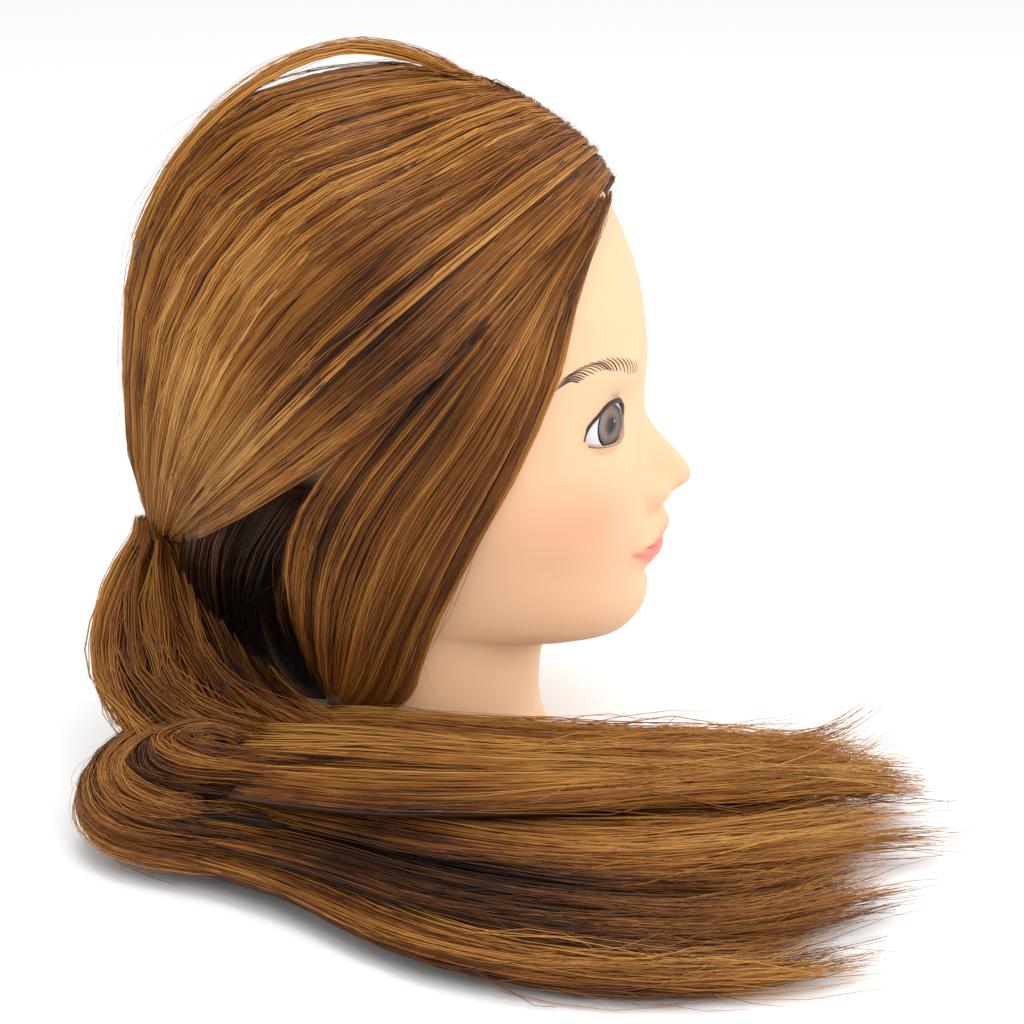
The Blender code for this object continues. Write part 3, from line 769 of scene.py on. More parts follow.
def make_cornea(name, material, axes, centre, bed, rings=14):
    dome = [(0.0, 0.0, EYE_R + CORNEA_RISE)]
    for i in range(1, rings + 1):
        r = (IRIS_R - 0.05) * i / rings
        z = math.sqrt(EYE_R**2 - r * r) + CORNEA_RISE * (1 - (r / IRIS_R) ** 2)
        dome += ring(r, z, SPOKES)
    back = bed + CORNEA_BACK
    dome += [(x, y, back) for x, y, _ in dome[-SPOKES:]] + [(0.0, 0.0, back)]
    points, faces = np.array(dome) @ axes + centre, polar_faces(rings + 1, SPOKES)
    cornea = mesh_piece(f"cornea_dome_{name}", points, faces, material)
    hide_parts(f"cornea_{name}")


def make_eye(side, name, white, printed, clear):
    bed = math.sqrt(EYE_R**2 - (IRIS_R + BED_GAP) ** 2) - BED_DEPTH
    axes, centre = polar_frame(side), EYE_CENTRE * (1, side, 1)
    make_ball(side, name, white, axes, centre, bed)
    make_iris(name, printed, axes, centre, bed)
    make_cornea(name, clear, axes, centre, bed)


white, printed, clear = make_ball_material(), make_iris_material(), make_clear_material()
for side, name in ((-1, "right"), (1, "left")):
    make_eye(side, name, white, printed, clear)
print("eyes set", round(2 * EYE_R, 1), "mm across")

# %% [markdown]
# Hair comes in locks, and a lock is easiest to steer as a sheet: a few listed guide strands say
# where it runs, and a smooth grid between them gives each strand somewhere to lie.
# `sheet_grid` makes that grid, `cling` keeps it off the scalp, and `lock_sheet` turns it into a
# mesh with its own UV map, u across the lock and v from root to tip, and its thickness and
# normal as attributes for the strands to read.

# %% Guide sheets
FORM_POINTS = bare.reshape(-1, 3)
FORM_OUT = outward(bare).reshape(-1, 3)


def sheet_grid(guides, across, along):
    lines = np.array([smooth_path(g, along) for g in guides])
    return smooth_path(lines, across)


def cling(grid, least):
    """Moves points straight out until each is this far off the bare form."""
    out = grid.copy().reshape(-1, 3)
    for i, point in enumerate(out):
        nearest = np.argmin(np.sum((FORM_POINTS - point) ** 2, axis=1))
        height = (point - FORM_POINTS[nearest]) @ FORM_OUT[nearest]
        if height < least:
            out[i] = point + FORM_OUT[nearest] * (least - height)
    return out.reshape(grid.shape)


def sheet_normals(grid, toward):
    normal = np.cross(np.gradient(grid, axis=0), np.gradient(grid, axis=1))
    normal /= np.linalg.norm(normal, axis=2, keepdims=True) + 1e-9
    middle = normal[grid.shape[0] // 2, grid.shape[1] // 2]
    return normal * (1 if middle @ np.array(toward) > 0 else -1)


def lock_sheet(name, grid, thick, toward):
    """A guide sheet as a mesh, thick at its middle and thin at both sides and ends."""
    across, along, _ = grid.shape
    side = np.sin(np.linspace(0.02, 0.98, across) * math.pi) ** 0.55
    length = np.sin(np.linspace(0.16, 0.90, along) * math.pi) ** 0.35
    depth = thick * np.outer(side, length)
    faces = [
        (i * along + j, (i + 1) * along + j, (i + 1) * along + j + 1, i * along + j + 1)
        for i in range(across - 1)
        for j in range(along - 1)
    ]
    mesh = bpy.data.meshes.new(name)
    mesh.from_pydata(world(grid.reshape(-1, 3)).tolist(), [], faces)
    uv = mesh.uv_layers.new(name="UVMap")
    for loop in mesh.loops:
        i, j = divmod(loop.vertex_index, along)
        uv.data[loop.index].uv = (i / (across - 1), j / (along - 1))
    layer = mesh.attributes.new("thick", "FLOAT", "POINT")
    layer.data.foreach_set("value", (depth.ravel() * MM).astype(np.float32))
    layer = mesh.attributes.new("out", "FLOAT_VECTOR", "POINT")
    layer.data.foreach_set("vector", sheet_normals(grid, toward).ravel().astype(np.float32))
    return mesh, depth


def spread(path, widths, lean=0.0):
    """Three guides for a lock that lies down: its two sides and its middle."""
    middle = np.array(path, float)
    run = np.gradient(middle, axis=0)
    aside = np.stack([-run[:, 1], run[:, 0], np.zeros(len(run))], axis=1)
    aside /= np.linalg.norm(aside, axis=1, keepdims=True)
    aside[:, 2] = lean
    wide = smooth_path([(w, 0.0) for w in widths], len(path))[:, :1]
    return [middle - aside * wide, middle, middle + aside * wide]


# %% [markdown]
# The strands themselves are one Geometry Nodes tree. It makes one straight strand, copies it as
# many times as asked, and gives each copy its own place across the sheet. Neighbours are drawn
# together into wisps toward their tips, each wisp wanders a little, and a noise frays the ends.
# The place on the sheet is found by sampling the sheet's UV map, so the strands follow it however
# it curves. Each strand is a thin three-sided tube, and carries its own tone for the material.

# %% Strand tree
STRAND_INPUTS = [
    "Count", "Points", "Seed", "Wisps", "Gather", "Even", "Cross", "Wander", "Frizz",
    "Radius", "Start", "Ragged", "Tone", "Paler", "Contrast", "Lift", "Material",
]
LOWEST_STRAND = 0.0006  # metres: strands lie on the table, not in it


def strand_tree():
    group = bpy.data.node_groups.new("strands", "GeometryNodeTree")
    face = group.interface
    face.new_socket("Geometry", in_out="INPUT", socket_type="NodeSocketGeometry")
    face.new_socket("Geometry", in_out="OUTPUT", socket_type="NodeSocketGeometry")
    kinds = {"Count": "Int", "Points": "Int", "Seed": "Int", "Material": "Material"}
    for name in STRAND_INPUTS:
        kind = kinds.get(name, "Float")
        face.new_socket(name, in_out="INPUT", socket_type=f"NodeSocket{kind}")
    tree = Tree(group)
    source = group.nodes.new("NodeGroupInput")
    given = {s.name: Sock(tree, s) for s in source.outputs if s.name}

    line = tree.node("GeometryNodeCurvePrimitiveLine", {}, {1: (0.0, 0.0, 1.0)})
    line = tree.node("GeometryNodeResampleCurve", {}, {0: line, 2: given["Points"]})
    copies = group.nodes.new("GeometryNodeDuplicateElements")
    copies.domain = "SPLINE"
    tree.feed(copies.inputs[0], line)
    tree.feed(copies.inputs["Amount"], given["Count"])
    strands, number = Sock(tree, copies.outputs[0]), Sock(tree, copies.outputs[1])
    along = tree.node("GeometryNodeSplineParameter")

    def chance(which, seed, low=0.0, high=1.0):
        values = {2: low, 3: high, 7: which, 8: given["Seed"] + float(seed)}
        return tree.node("FunctionNodeRandomValue", {"data_type": "FLOAT"}, values, 1)

    def either_way(which, seed):
        return chance(which, seed, -1.0, 1.0)

    regular = (number + 0.5) / given["Count"]
    own = chance(number, 1)
    own = own + (regular - own) * given["Even"]
    wisp = (own * given["Wisps"]).maths("FLOOR", own * given["Wisps"])
    finer = (own * given["Wisps"] * 4.0).maths("FLOOR", own * given["Wisps"] * 4.0)
    wisp_middle = (wisp + chance(wisp, 2, 0.15, 0.85)) / given["Wisps"]
    finer_middle = (finer + chance(finer, 3, 0.2, 0.8)) / (given["Wisps"] * 4.0)
    pull = along.maths("SMOOTH_MIN", along * 1.25, 1.0, 0.2) * given["Gather"]
    across = own + (wisp_middle - own) * pull * 0.6 + (finer_middle - own) * pull * 0.4
    begin = chance(number, 4) * given["Start"]
    short = (chance(number, 5) ** 2.0) * 0.4 + chance(wisp, 6) * 0.36 + chance(finer, 7) * 0.24
    end = 1.0 - short * given["Ragged"]
    v = begin + (end - begin) * along
    sway_at = tree.xyz(chance(wisp, 8, 0.0, 50.0), v * 2.2, chance(number, 9, 0.0, 0.35))
    sway = tree.noise(sway_at, 1.0, 1.0) - 0.5
    across = across + sway * given["Wander"]
    slant = either_way(wisp, 20) * 0.7 + either_way(number, 21) * 0.45
    across = across + slant * (v - 0.45) * given["Cross"]
    across = across.maths("MAXIMUM", across.maths("MINIMUM", across, 0.999), 0.001)
    v = v.maths("MAXIMUM", v.maths("MINIMUM", v, 0.9995), 0.0005)
    spot = tree.xyz(across, v)

    def named(name, kind):
        return tree.node("GeometryNodeInputNamedAttribute", {"data_type": kind}, {"Name": name})

    def read(field, kind):
        values = {0: given["Geometry"], 1: field, 2: named("UVMap", "FLOAT_VECTOR"), 3: spot}
        return tree.node("GeometryNodeSampleUVSurface", {"data_type": kind}, values)

    place = read(tree.node("GeometryNodeInputPosition"), "FLOAT_VECTOR")
    away = read(named("out", "FLOAT_VECTOR"), "FLOAT_VECTOR")
    thick = read(named("thick", "FLOAT"), "FLOAT")
    deep = either_way(number, 10) * 0.55 + either_way(wisp, 11) * 0.3 + either_way(finer, 12) * 0.15
    shifted = tree.vector("SCALE", {0: away, 3: deep * thick * 0.5 + given["Lift"]})
    point = tree.vector("ADD", {0: place, 1: shifted})
    fray_at = tree.xyz(chance(number, 13, 0.0, 80.0), along * 1.6, chance(finer, 14, 0.0, 9.0))
    fray = tree.node("ShaderNodeTexNoise", {}, {"Vector": fray_at, "Scale": 1.0, "Detail": 1.0}, 1)
    fray = tree.vector("SUBTRACT", {0: fray, 1: (0.5, 0.5, 0.5)})
    amount = given["Frizz"] * (along ** 1.4) * (0.35 + chance(number, 15) ** 3.0 * 2.2)
    point = tree.vector("ADD", {0: point, 1: tree.vector("SCALE", {0: fray, 3: amount})})
    parts = tree.node("ShaderNodeSeparateXYZ", {}, {0: point}).socket.node
    x, y, z = (Sock(tree, parts.outputs[i]) for i in range(3))
    point = tree.xyz(x, y, z.maths("MAXIMUM", z, LOWEST_STRAND))
    strands = tree.node("GeometryNodeSetPosition", {}, {0: strands, 2: point})

    tone = given["Tone"] + given["Paler"] * v ** 2.0 + given["Contrast"] * (
        either_way(wisp, 16) * 0.5 + either_way(finer, 17) * 0.3 + either_way(number, 18) * 0.3
    )
    # a strand deeper in the lock gets a darker tone below: painted shade
    settings = {"data_type": "FLOAT", "domain": "POINT"}
    for name, value in (("tone", tone + deep * 0.12), ("along", v)):
        values = {0: strands, "Name": name, "Value": value}
        strands = tree.node("GeometryNodeStoreNamedAttribute", settings, values)
    thin = given["Radius"] * (1.0 - 0.72 * along ** 4.0) * (0.7 + chance(number, 19) * 0.6)
    thin = thin * along.maths("MINIMUM", along * 9.0 + 0.25, 1.0)
    ring = tree.node("GeometryNodeCurvePrimitiveCircle", {}, {"Resolution": 3, "Radius": 1.0})
    values = {0: strands, 1: ring, "Scale": thin, "Fill Caps": True}
    tubes = tree.node("GeometryNodeCurveToMesh", {}, values)
    tubes = tree.node("GeometryNodeSetShadeSmooth", {}, {0: tubes, "Shade Smooth": True})
    tubes = tree.node("GeometryNodeRealizeInstances", {}, {0: tubes})
    tubes = tree.node("GeometryNodeSetMaterial", {}, {0: tubes, "Material": given["Material"]})
    tree.feed(group.nodes.new("NodeGroupOutput").inputs[0], tubes)
    return group


STRANDS = strand_tree()
print("strand tree has", len(STRANDS.nodes), "nodes")

# %% [markdown]
# Synthetic hair is glossy, and its colour is never one brown: every wisp differs and the tips are
# paler. Hair deep in a lock is painted darker, as shade, and a list of spots paints light and shade
# onto the hair. The ramp below runs from the shadowed brown to the golden strands on top, and reads
# the tone that each strand was given.

# %% Hair fibre
HAIR_STOPS = [
    (0.0, rgb(26, 14, 6)), (0.25, rgb(88, 46, 16)), (0.5, rgb(154, 94, 36)),
    (0.75, rgb(196, 136, 62)), (1.0, rgb(220, 170, 100)),
]
# where painted light and shade make the hair lighter or darker: a place, how wide, and by how much
LIGHT_AND_SHADE_SPOTS = [
    ((-58, -70, 155), 34, 0.30), ((-50, -78, 212), 26, 0.16), ((6, -86, 190), 40, -0.20),
    ((52, -64, 176), 22, 0.18), ((-20, -84, 118), 24, -0.14), ((-40, -60, 64), 24, -0.40),
    ((4, -140, 20), 34, -0.30), ((58, -170, 14), 34, -0.30),
]
FALL_BASE = 2.718  # each spot fades as this to the power of minus its distance squared


def make_fibre():
    material, tree, shader = finish("hair_fibre", Coat_Weight=0.0)
    shader.inputs["Specular IOR Level"].default_value = 0.3
    place = tree.place()
    cloud = tree.noise(place, 26.0, 2.0)
    tone = tree.attribute("tone") + (cloud - 0.5) * 0.45
    # a spot with a plus amount paints light onto the hair, one with a minus amount paints shade
    for spot, radius, amount in LIGHT_AND_SHADE_SPOTS:
        values = {0: place, 1: tuple(world(spot))}
        away = tree.vector("DISTANCE", values, 1) / (radius * MM)
        tone = tone + tone.maths("POWER", FALL_BASE, away * away * -1.0) * amount
    ramp = tree.node("ShaderNodeValToRGB", {"stops": HAIR_STOPS}, {"Fac": tone.clamped()})
    tree.feed(shader.inputs["Base Color"], ramp)
    tree.feed(shader.inputs["Roughness"], 0.34 + 0.12 * cloud)
    return material


def make_bulk_in_shade():
    """The hair under the surface, as strands too fine to tell apart, in dark browns: painted shade.
    """
    material, tree, shader = finish("hair_depth_shade")
    uv = tree.node("ShaderNodeTexCoord", {}, {}, "UV")
    fine = tree.noise(tree.stretched(uv, (520.0, 5.0, 1.0)), 1.0, 3.0, 0.7)
    broad = tree.noise(tree.stretched(uv, (40.0, 2.5, 1.0)), 1.0, 2.0)
    tone = fine * 0.20 + broad * 0.10
    ramp = tree.node("ShaderNodeValToRGB", {"stops": HAIR_STOPS}, {"Fac": tone.clamped()})
    tree.feed(shader.inputs["Base Color"], ramp)
    tree.feed(shader.inputs["Roughness"], 0.5 - 0.1 * fine)
    tree.feed(shader.inputs["Normal"], tree.bump(fine, 0.0006, 0.8))
    return material


FIBRE = make_fibre()
DEPTH_SHADE = make_bulk_in_shade()

# %% [markdown]
# `comb` runs the tree on a sheet and keeps the result as a plain mesh, and `fill` makes the body
# of hair that the strands lie on: a closed slab a little under them, so that no gap shows
# through to the scalp. The body is coloured in dark browns, as painted shade inside the hair.

# %% Comb and fill
EDGE = 3  # columns at each side of a sheet that its body leaves out
SINK = 0.28  # how far under the sheet the body lies, as a share of the lock's thickness
SHEET_ACROSS, SHEET_ALONG = 26, 44
THINNEST = 0.15
LOWEST_BODY = 0.5
TRIANGLES = {}
COMBED = {
    "Count": 0, "Points": 12, "Seed": 1, "Wisps": 26.0, "Gather": 0.5, "Even": 0.0, "Cross": 0.08,
    "Wander": 0.06, "Frizz": 0.003, "Radius": 0.00026, "Start": 0.03, "Ragged": 0.1, "Tone": 0.5,
    "Paler": 0.06, "Contrast": 0.3, "Lift": 0.0, "Material": FIBRE,
}
STRAY = {
    "Gather": 0.0, "Wander": 0.35, "Cross": 0.3, "Frizz": 0.024,
    "Radius": 0.00011, "Lift": 0.002, "Ragged": 0.5,
}


def comb(name, sheet, count, nodes=(), **wanted):
    values = {**COMBED, "Count": count, **wanted}
    carrier = bpy.data.objects.new(name, sheet)
    bpy.context.collection.objects.link(carrier)
    modifier = carrier.modifiers.new("strands", "NODES")
    modifier.node_group = STRANDS
    for item in STRANDS.interface.items_tree:
        if item.in_out == "INPUT" and item.name in values:
            modifier[item.identifier] = values[item.name]
    applied(carrier)
    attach(carrier, "head")
    if nodes:
        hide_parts(*nodes)
    carrier.data.calc_loop_triangles()
    TRIANGLES[name] = len(carrier.data.loop_triangles)
    print(name, TRIANGLES[name], "triangles")


def fill(name, grid, depth, toward, sink, share, reach):
    """A closed slab that follows a sheet, with its thickness, under the strands."""
    last = int(grid.shape[1] * reach)
    grid, depth = grid[EDGE:-EDGE, :last], depth[EDGE:-EDGE, :last]
    depth = depth * np.minimum(1, np.linspace(1, 0, depth.shape[1]) * 5 + 0.1)
    across, along, _ = grid.shape
    normal = sheet_normals(grid, toward)
    half = depth[:, :, None] * 0.5 * share + THINNEST
    top = grid + normal * (half - sink)
    low = grid - normal * (half + sink)
    for layer in (top, low):
        layer[:, :, 2] = np.maximum(layer[:, :, 2], LOWEST_BODY)
    pinched = np.linalg.norm(top - low, axis=2) < THINNEST
    top[:, :, 2] = np.where(pinched, top[:, :, 2] + 2 * THINNEST, top[:, :, 2])
    start = across * along
    faces = []
    for i in range(across - 1):
        for j in range(along - 1):
            a, b = i * along + j, (i + 1) * along + j
            faces += [(a, b, b + 1, a + 1), (start + a, start + a + 1, start + b + 1, start + b)]
    rim = [(i, 0) for i in range(across)] + [(across - 1, j) for j in range(1, along)]
    rim += [(i, along - 1) for i in range(across - 2, -1, -1)]
    rim += [(0, j) for j in range(along - 2, 0, -1)]
    rim = [i * along + j for i, j in rim]
    faces += [(b, a, start + a, start + b) for a, b in zip(rim, rim[1:] + rim[:1])]
    points = np.concatenate([top.reshape(-1, 3), low.reshape(-1, 3)])
    piece = mesh_piece(name, points, faces, DEPTH_SHADE)
    uv = piece.data.uv_layers.new(name="UVMap")
    for loop in piece.data.loops:
        i, j = divmod(loop.vertex_index % start, along)
        uv.data[loop.index].uv = (i / (across - 1), j / (along - 1))


def lock(
    name, guides, thick, toward, count, nodes=(), least=None,
    share=0.3, reach=1.0, loose=0.02, **wanted,
):
    """One lock: its strands, a few that have come loose over it, and its body under them."""
    grid = sheet_grid(guides, SHEET_ACROSS, SHEET_ALONG)
    if least is not None:
        grid = cling(grid, least)
    sheet, depth = lock_sheet(name + "_sheet", grid, thick, toward)
    comb(name, sheet.copy(), count, nodes, **wanted)
    if loose:
        stray = {**wanted, **STRAY, "Tone": wanted.get("Tone", COMBED["Tone"]) + 0.12}
        comb(name + "_loose", sheet, int(count * loose), [], **stray)
    fill(name + "_body", grid, depth, toward, thick * SINK, share, reach)


def mirrored(guides):
    return [[(x, -y, z) for x, y, z in guide] for guide in guides]


# %% [markdown]
# The hair on the head is in three layers on each side. The nape hair lies closest. The curtain
# falls from the temple past the jaw. Over both, the top hair sweeps back from the front hairline
# to the tie. The layers under the top hair are given darker tones, as painted shade.

# %% Hair on the head
RIGHT, LEFT, UP = (0, -1, 0), (0, 1, 0), (0, 0, 1)
SWEEP = [
    [(12, -1, 267), (-20, -1, 268), (-57, -1, 257), (-84, -1, 231), (-99, -1, 202),
     (-104, -1, 166), (-104, -1, 122), (-95, -2, 90)],
    [(38, -2, 259), (5, -40, 256), (-32, -55, 248), (-64, -56, 220), (-85, -46, 178),
     (-92, -30, 128), (-95, -6, 89)],
    [(54, -2, 250), (21, -58, 243), (-16, -79, 225), (-48, -78, 189), (-73, -56, 138),
     (-91, -10, 89)],
    [(67, -2, 239), (39, -64, 230), (6, -86, 207), (-30, -90, 171), (-65, -63, 126),
     (-88, -12, 89)],
    [(76, -3, 229), (60, -58, 213), (30, -88, 184), (-14, -93, 148), (-60, -65, 112),
     (-86, -13, 89)],
]
CURTAIN = [
    [(77, -8, 226), (68, -45, 206), (61, -60, 169), (49, -66, 137), (32, -68, 104),
     (17, -66, 72), (10, -62, 50), (-1, -58, 38)],
    [(72, -28, 224), (54, -72, 190), (36, -78, 155), (12, -78, 118), (-4, -74, 82),
     (-12, -68, 56), (-20, -64, 42)],
    [(66, -45, 220), (40, -82, 193), (14, -86, 161), (-8, -84, 130), (-20, -78, 98),
     (-22, -72, 66), (-16, -64, 42)],
    [(56, -62, 216), (26, -86, 190), (-4, -88, 160), (-26, -84, 130), (-34, -76, 104),
     (-32, -66, 74), (-22, -58, 48)],
]
HOLLOW = [
    [(2, -74, 128), (-14, -72, 104), (-20, -62, 80), (-16, -56, 58), (-8, -56, 42)],
    [(-44, -70, 130), (-58, -58, 104), (-62, -44, 80), (-58, -38, 58), (-48, -48, 42)],
    [(-64, -52, 124), (-74, -38, 100), (-78, -26, 80), (-72, -28, 58), (-62, -48, 42)],
    [(-80, -20, 112), (-84, -8, 96), (-86, -8, 80), (-82, -22, 60), (-74, -46, 42)],
]
NAPE = [
    [(-30, -62, 118), (-56, -52, 106), (-72, -36, 98), (-84, -14, 91)],
    [(-66, -34, 124), (-76, -26, 110), (-82, -14, 100), (-88, -6, 92)],
    [(-78, 0, 126), (-84, 0, 112), (-86, 0, 100), (-90, 0, 92)],
    [(-66, 34, 124), (-76, 26, 110), (-82, 14, 100), (-88, 6, 92)],
    [(-30, 62, 118), (-56, 52, 106), (-72, 36, 98), (-84, 14, 91)],
]
CREST = [
    [(30, 4, 264), (14, -8, 275), (-14, -16, 281), (-44, -22, 272), (-74, -28, 246),
     (-94, -28, 210)],
    [(22, -4, 265), (6, -16, 275), (-20, -26, 279), (-50, -34, 266), (-78, -38, 238),
     (-94, -36, 204)],
]


def over_parting(guides):
    """The same guides, rooted a little past the middle of the head."""
    return [[(guide[0][0] + 1, 13, guide[0][2] - 2)] + guide for guide in guides]


def dress(side, turn, out, share):
    flip = mirrored if turn > 0 else list
    sweep = mirrored(SWEEP) if turn > 0 else over_parting(SWEEP)
    lock(f"sweep_{side}", sweep, 8.0, out, int(2550 * share), [f"hair_top_{side}"], 6.0,
         Seed=11 + turn, Wisps=38.0, Gather=0.4, Tone=0.46, Contrast=0.40, Frizz=0.002)
    lock(f"sweep_under_{side}", sweep, 6.0, out, int(1900 * share), [], 3.5, loose=0,
         Seed=31 + turn, Wisps=52.0, Gather=0.3, Tone=0.34, Contrast=0.34, Frizz=0.001)
    lock(f"curtain_strands_{side}", flip(CURTAIN), 8.0, out, int(2700 * share),
         [f"curtain_{side}"], 5.5, Seed=51 + turn, Wisps=30.0, Gather=0.4, Tone=0.34,
         Contrast=0.34, Frizz=0.003, Ragged=0.12)
    # the hollow behind the jaw gets the darkest tone: painted shade
    lock(f"hollow_{side}", flip(HOLLOW), 7.0, out, int(900 * share), [], 4.0,
         Seed=61 + turn, Wisps=20.0, Gather=0.4, Tone=0.02, Contrast=0.12, Frizz=0.004,
         Ragged=0.15, Points=9)


dress("right", -1, RIGHT, 1.0)
dress("left", 1, LEFT, 0.55)
lock("nape_strands", NAPE, 5.0, (-1, 0, 0), 700, ["hair_nape"], 3.5, loose=0,
     Seed=65, Wisps=24.0, Tone=0.2, Contrast=0.3, Points=9)
lock("crest_strands", CREST, 5.0, UP, 110, ["crest_lock"], 9.0, share=0.05, loose=0.15,
     Seed=67, Wisps=7.0, Tone=0.6, Contrast=0.3, Frizz=0.005, Wander=0.2, Points=14)
print("so far", sum(TRIANGLES.values()), "triangles")

# %% [markdown]
# Below the tie the tail swells, turns under itself and lies in a round pile, and from there its
# length runs along the table in overlapping locks that fan out and fray at the tips.

# %% The tail on the table
TAIL = [
    [(-96, 1, 97), (-98, 2, 86), (-107, 4, 71), (-109, -2, 56), (-106, -16, 44), (-98, -42, 36),
     (-84, -70, 34)],
    [(-95, -6, 97), (-96, -7, 86), (-103, -22, 71), (-104, -38, 57), (-98, -56, 46),
     (-84, -78, 40), (-62, -92, 38)],
    [(-90, -8, 97), (-88, -9, 86), (-80, -28, 72), (-71, -46, 59), (-60, -62, 50),
     (-44, -78, 44), (-26, -88, 42)],
    [(-87, -2, 97), (-85, -2, 86), (-68, -12, 71), (-55, -30, 56), (-44, -48, 48),
     (-28, -68, 44), (-8, -80, 40)],
]
COIL_OUTER = [
    [(-54, -60, 34), (-84, -58, 30), (-106, -76, 22), (-108, -98, 14), (-94, -118, 9),
     (-64, -132, 8), (-24, -140, 8)],
    [(-50, -70, 40), (-82, -68, 37), (-100, -84, 29), (-100, -102, 21), (-86, -116, 16),
     (-58, -126, 15), (-20, -134, 15)],
    [(-46, -82, 42), (-72, -78, 42), (-90, -90, 36), (-90, -104, 30), (-78, -112, 26),
     (-52, -118, 24), (-16, -124, 22)],
]
COIL_INNER = [
    [(-48, -72, 39), (-74, -69, 37), (-95, -84, 30), (-95, -101, 24), (-80, -113, 20),
     (-52, -120, 20), (-14, -124, 20)],
    [(-46, -92, 42), (-62, -88, 44), (-74, -93, 42), (-73, -100, 40), (-62, -104, 38),
     (-40, -104, 35), (-6, -106, 32)],
    [(-50, -98, 41), (-56, -94, 42), (-62, -95, 42), (-62, -98, 41), (-54, -100, 40),
     (-34, -98, 38), (-2, -98, 36)],
]
RUNS = {
    "front": ([(-84, -104, 10), (-23, -132, 10), (24, -168, 8), (65, -188, 7), (105, -192, 6),
               (144, -184, 5), (184, -160, 4)],
              (16, 20, 22, 20, 18, 18, 26), 13, "fan_front", 0.40),
    "second": ([(-66, -104, 17), (-10, -128, 17), (34, -150, 15), (80, -160, 13),
                (126, -152, 10), (166, -128, 8), (197, -103, 5)],
               (18, 22, 25, 26, 25, 24, 30), 16, "fan_middle", 0.32),
    "middle": ([(-56, -96, 24), (-8, -110, 24), (38, -122, 22), (86, -120, 18), (134, -100, 14),
                (174, -76, 10), (201, -59, 6)],
               (18, 24, 26, 26, 25, 24, 28), 18, None, 0.44),
    "crossing": ([(-48, -106, 33), (4, -117, 35), (52, -108, 32), (104, -86, 26), (154, -62, 20),
                  (186, -46, 14), (204, -33, 10)],
                 (15, 20, 20, 17, 14, 14, 18), 12, "fan_rear", 0.50),
    "over": ([(-56, -80, 40), (-8, -84, 42), (33, -80, 37), (79, -68, 31), (130, -58, 26),
              (170, -50, 21), (200, -38, 15)],
             (16, 21, 22, 20, 18, 17, 20), 13, "fan_over", 0.52),
    "rear": ([(-34, -62, 34), (24, -72, 30), (62, -70, 26), (100, -56, 22), (140, -42, 18),
              (170, -32, 19), (190, -24, 32)],
             (8, 9, 13, 18, 20, 18, 14), 14, None, 0.36),
}
COIL_BED = spread(
    [(-96, -88, 14), (-72, -92, 20), (-40, -96, 24), (-8, -104, 22)],
    (20, 28, 30, 24),
)
FAN_BED = spread(
    [(-70, -104, 9), (0, -118, 10), (60, -124, 10), (120, -112, 8), (176, -90, 6)],
    (20, 40, 58, 62, 50),
)
lock("tail_strands", TAIL, 24.0, (-1, -0.6, 0.3), 1600, ["ponytail"], loose=0.05,
     Seed=71, Wisps=20.0, Gather=0.3, Wander=0.25, Tone=0.48, Contrast=0.36, Frizz=0.012,
     Radius=0.0003)
lock("coil_outer", COIL_OUTER, 12.0, UP, 1300, ["table_coil"], reach=0.8, loose=0.03,
     Seed=81, Ragged=0.45, Wisps=16.0, Gather=0.3, Wander=0.25, Tone=0.40, Contrast=0.34,
     Frizz=0.010, Points=15)
# the beds under the pile and the runs get dark tones: painted shade
lock("coil_bed", COIL_BED, 12.0, UP, 500, loose=0,
     Seed=85, Wisps=12.0, Wander=0.3, Tone=0.12, Contrast=0.25, Points=10)
lock("fan_bed", FAN_BED, 10.0, UP, 900, reach=0.7, loose=0,
     Seed=87, Wisps=16.0, Wander=0.3, Tone=0.10, Contrast=0.25, Frizz=0.02, Ragged=0.5, Points=10)
lock("coil_inner", COIL_INNER, 12.0, UP, 1000, reach=0.7, loose=0.03,
     Seed=83, Ragged=0.55, Wisps=12.0, Gather=0.3, Wander=0.25, Tone=0.38, Contrast=0.34,
     Frizz=0.010, Points=15)
for index, (name, (path, widths, thick, node, tone)) in enumerate(RUNS.items()):
    lock(f"run_{name}", spread(path, widths), thick, UP, 1150, [node] if node else [],
         reach=0.66, loose=0.2, Seed=91 + index, Wisps=19.0, Gather=0.8, Wander=0.45, Cross=0.6,
         Tone=tone - 0.06, Paler=0.18, Contrast=0.42, Frizz=0.025, Ragged=0.66, Start=0.34,
         Radius=0.00028)
print("hair in all", sum(TRIANGLES.values()), "triangles")

# %% [markdown]
# The band that holds the tail is a plain covered elastic, and the brow is a row of fine painted
# strokes. Each stroke leans further back than the one before it, so the strokes are combed on a
# small sheet of their own, which is laid on the face first. The lines round the lids are thin
# strips, found the same way: by looking at the face from where the eye looks.

# %% Band and brows
TIE_CENTRE, TIE_R, CORD_R = (-92.0, 0.0, 84.0), 12.5, 1.9
LOOK_FROM = 150.0  # a plane in front of the whole face
LINE_STEPS = 60
LINE_HIGH, LINE_DEEP, LINE_GAP = 0.16, 0.1, 0.12  # over the skin, into it, and from the edge
BROW = [
    [(-22, 162), (-22.5, 165), (-24, 168)],
    [(-29, 163), (-30, 167), (-33, 171)],
    [(-37, 166), (-39, 170), (-43, 173)],
    [(-42, 168), (-46, 171), (-51, 171.5)],
    [(-48, 167), (-52, 169.5), (-56, 167.5)],
    [(-51, 165.5), (-54, 166.5), (-58, 162.5)],
]


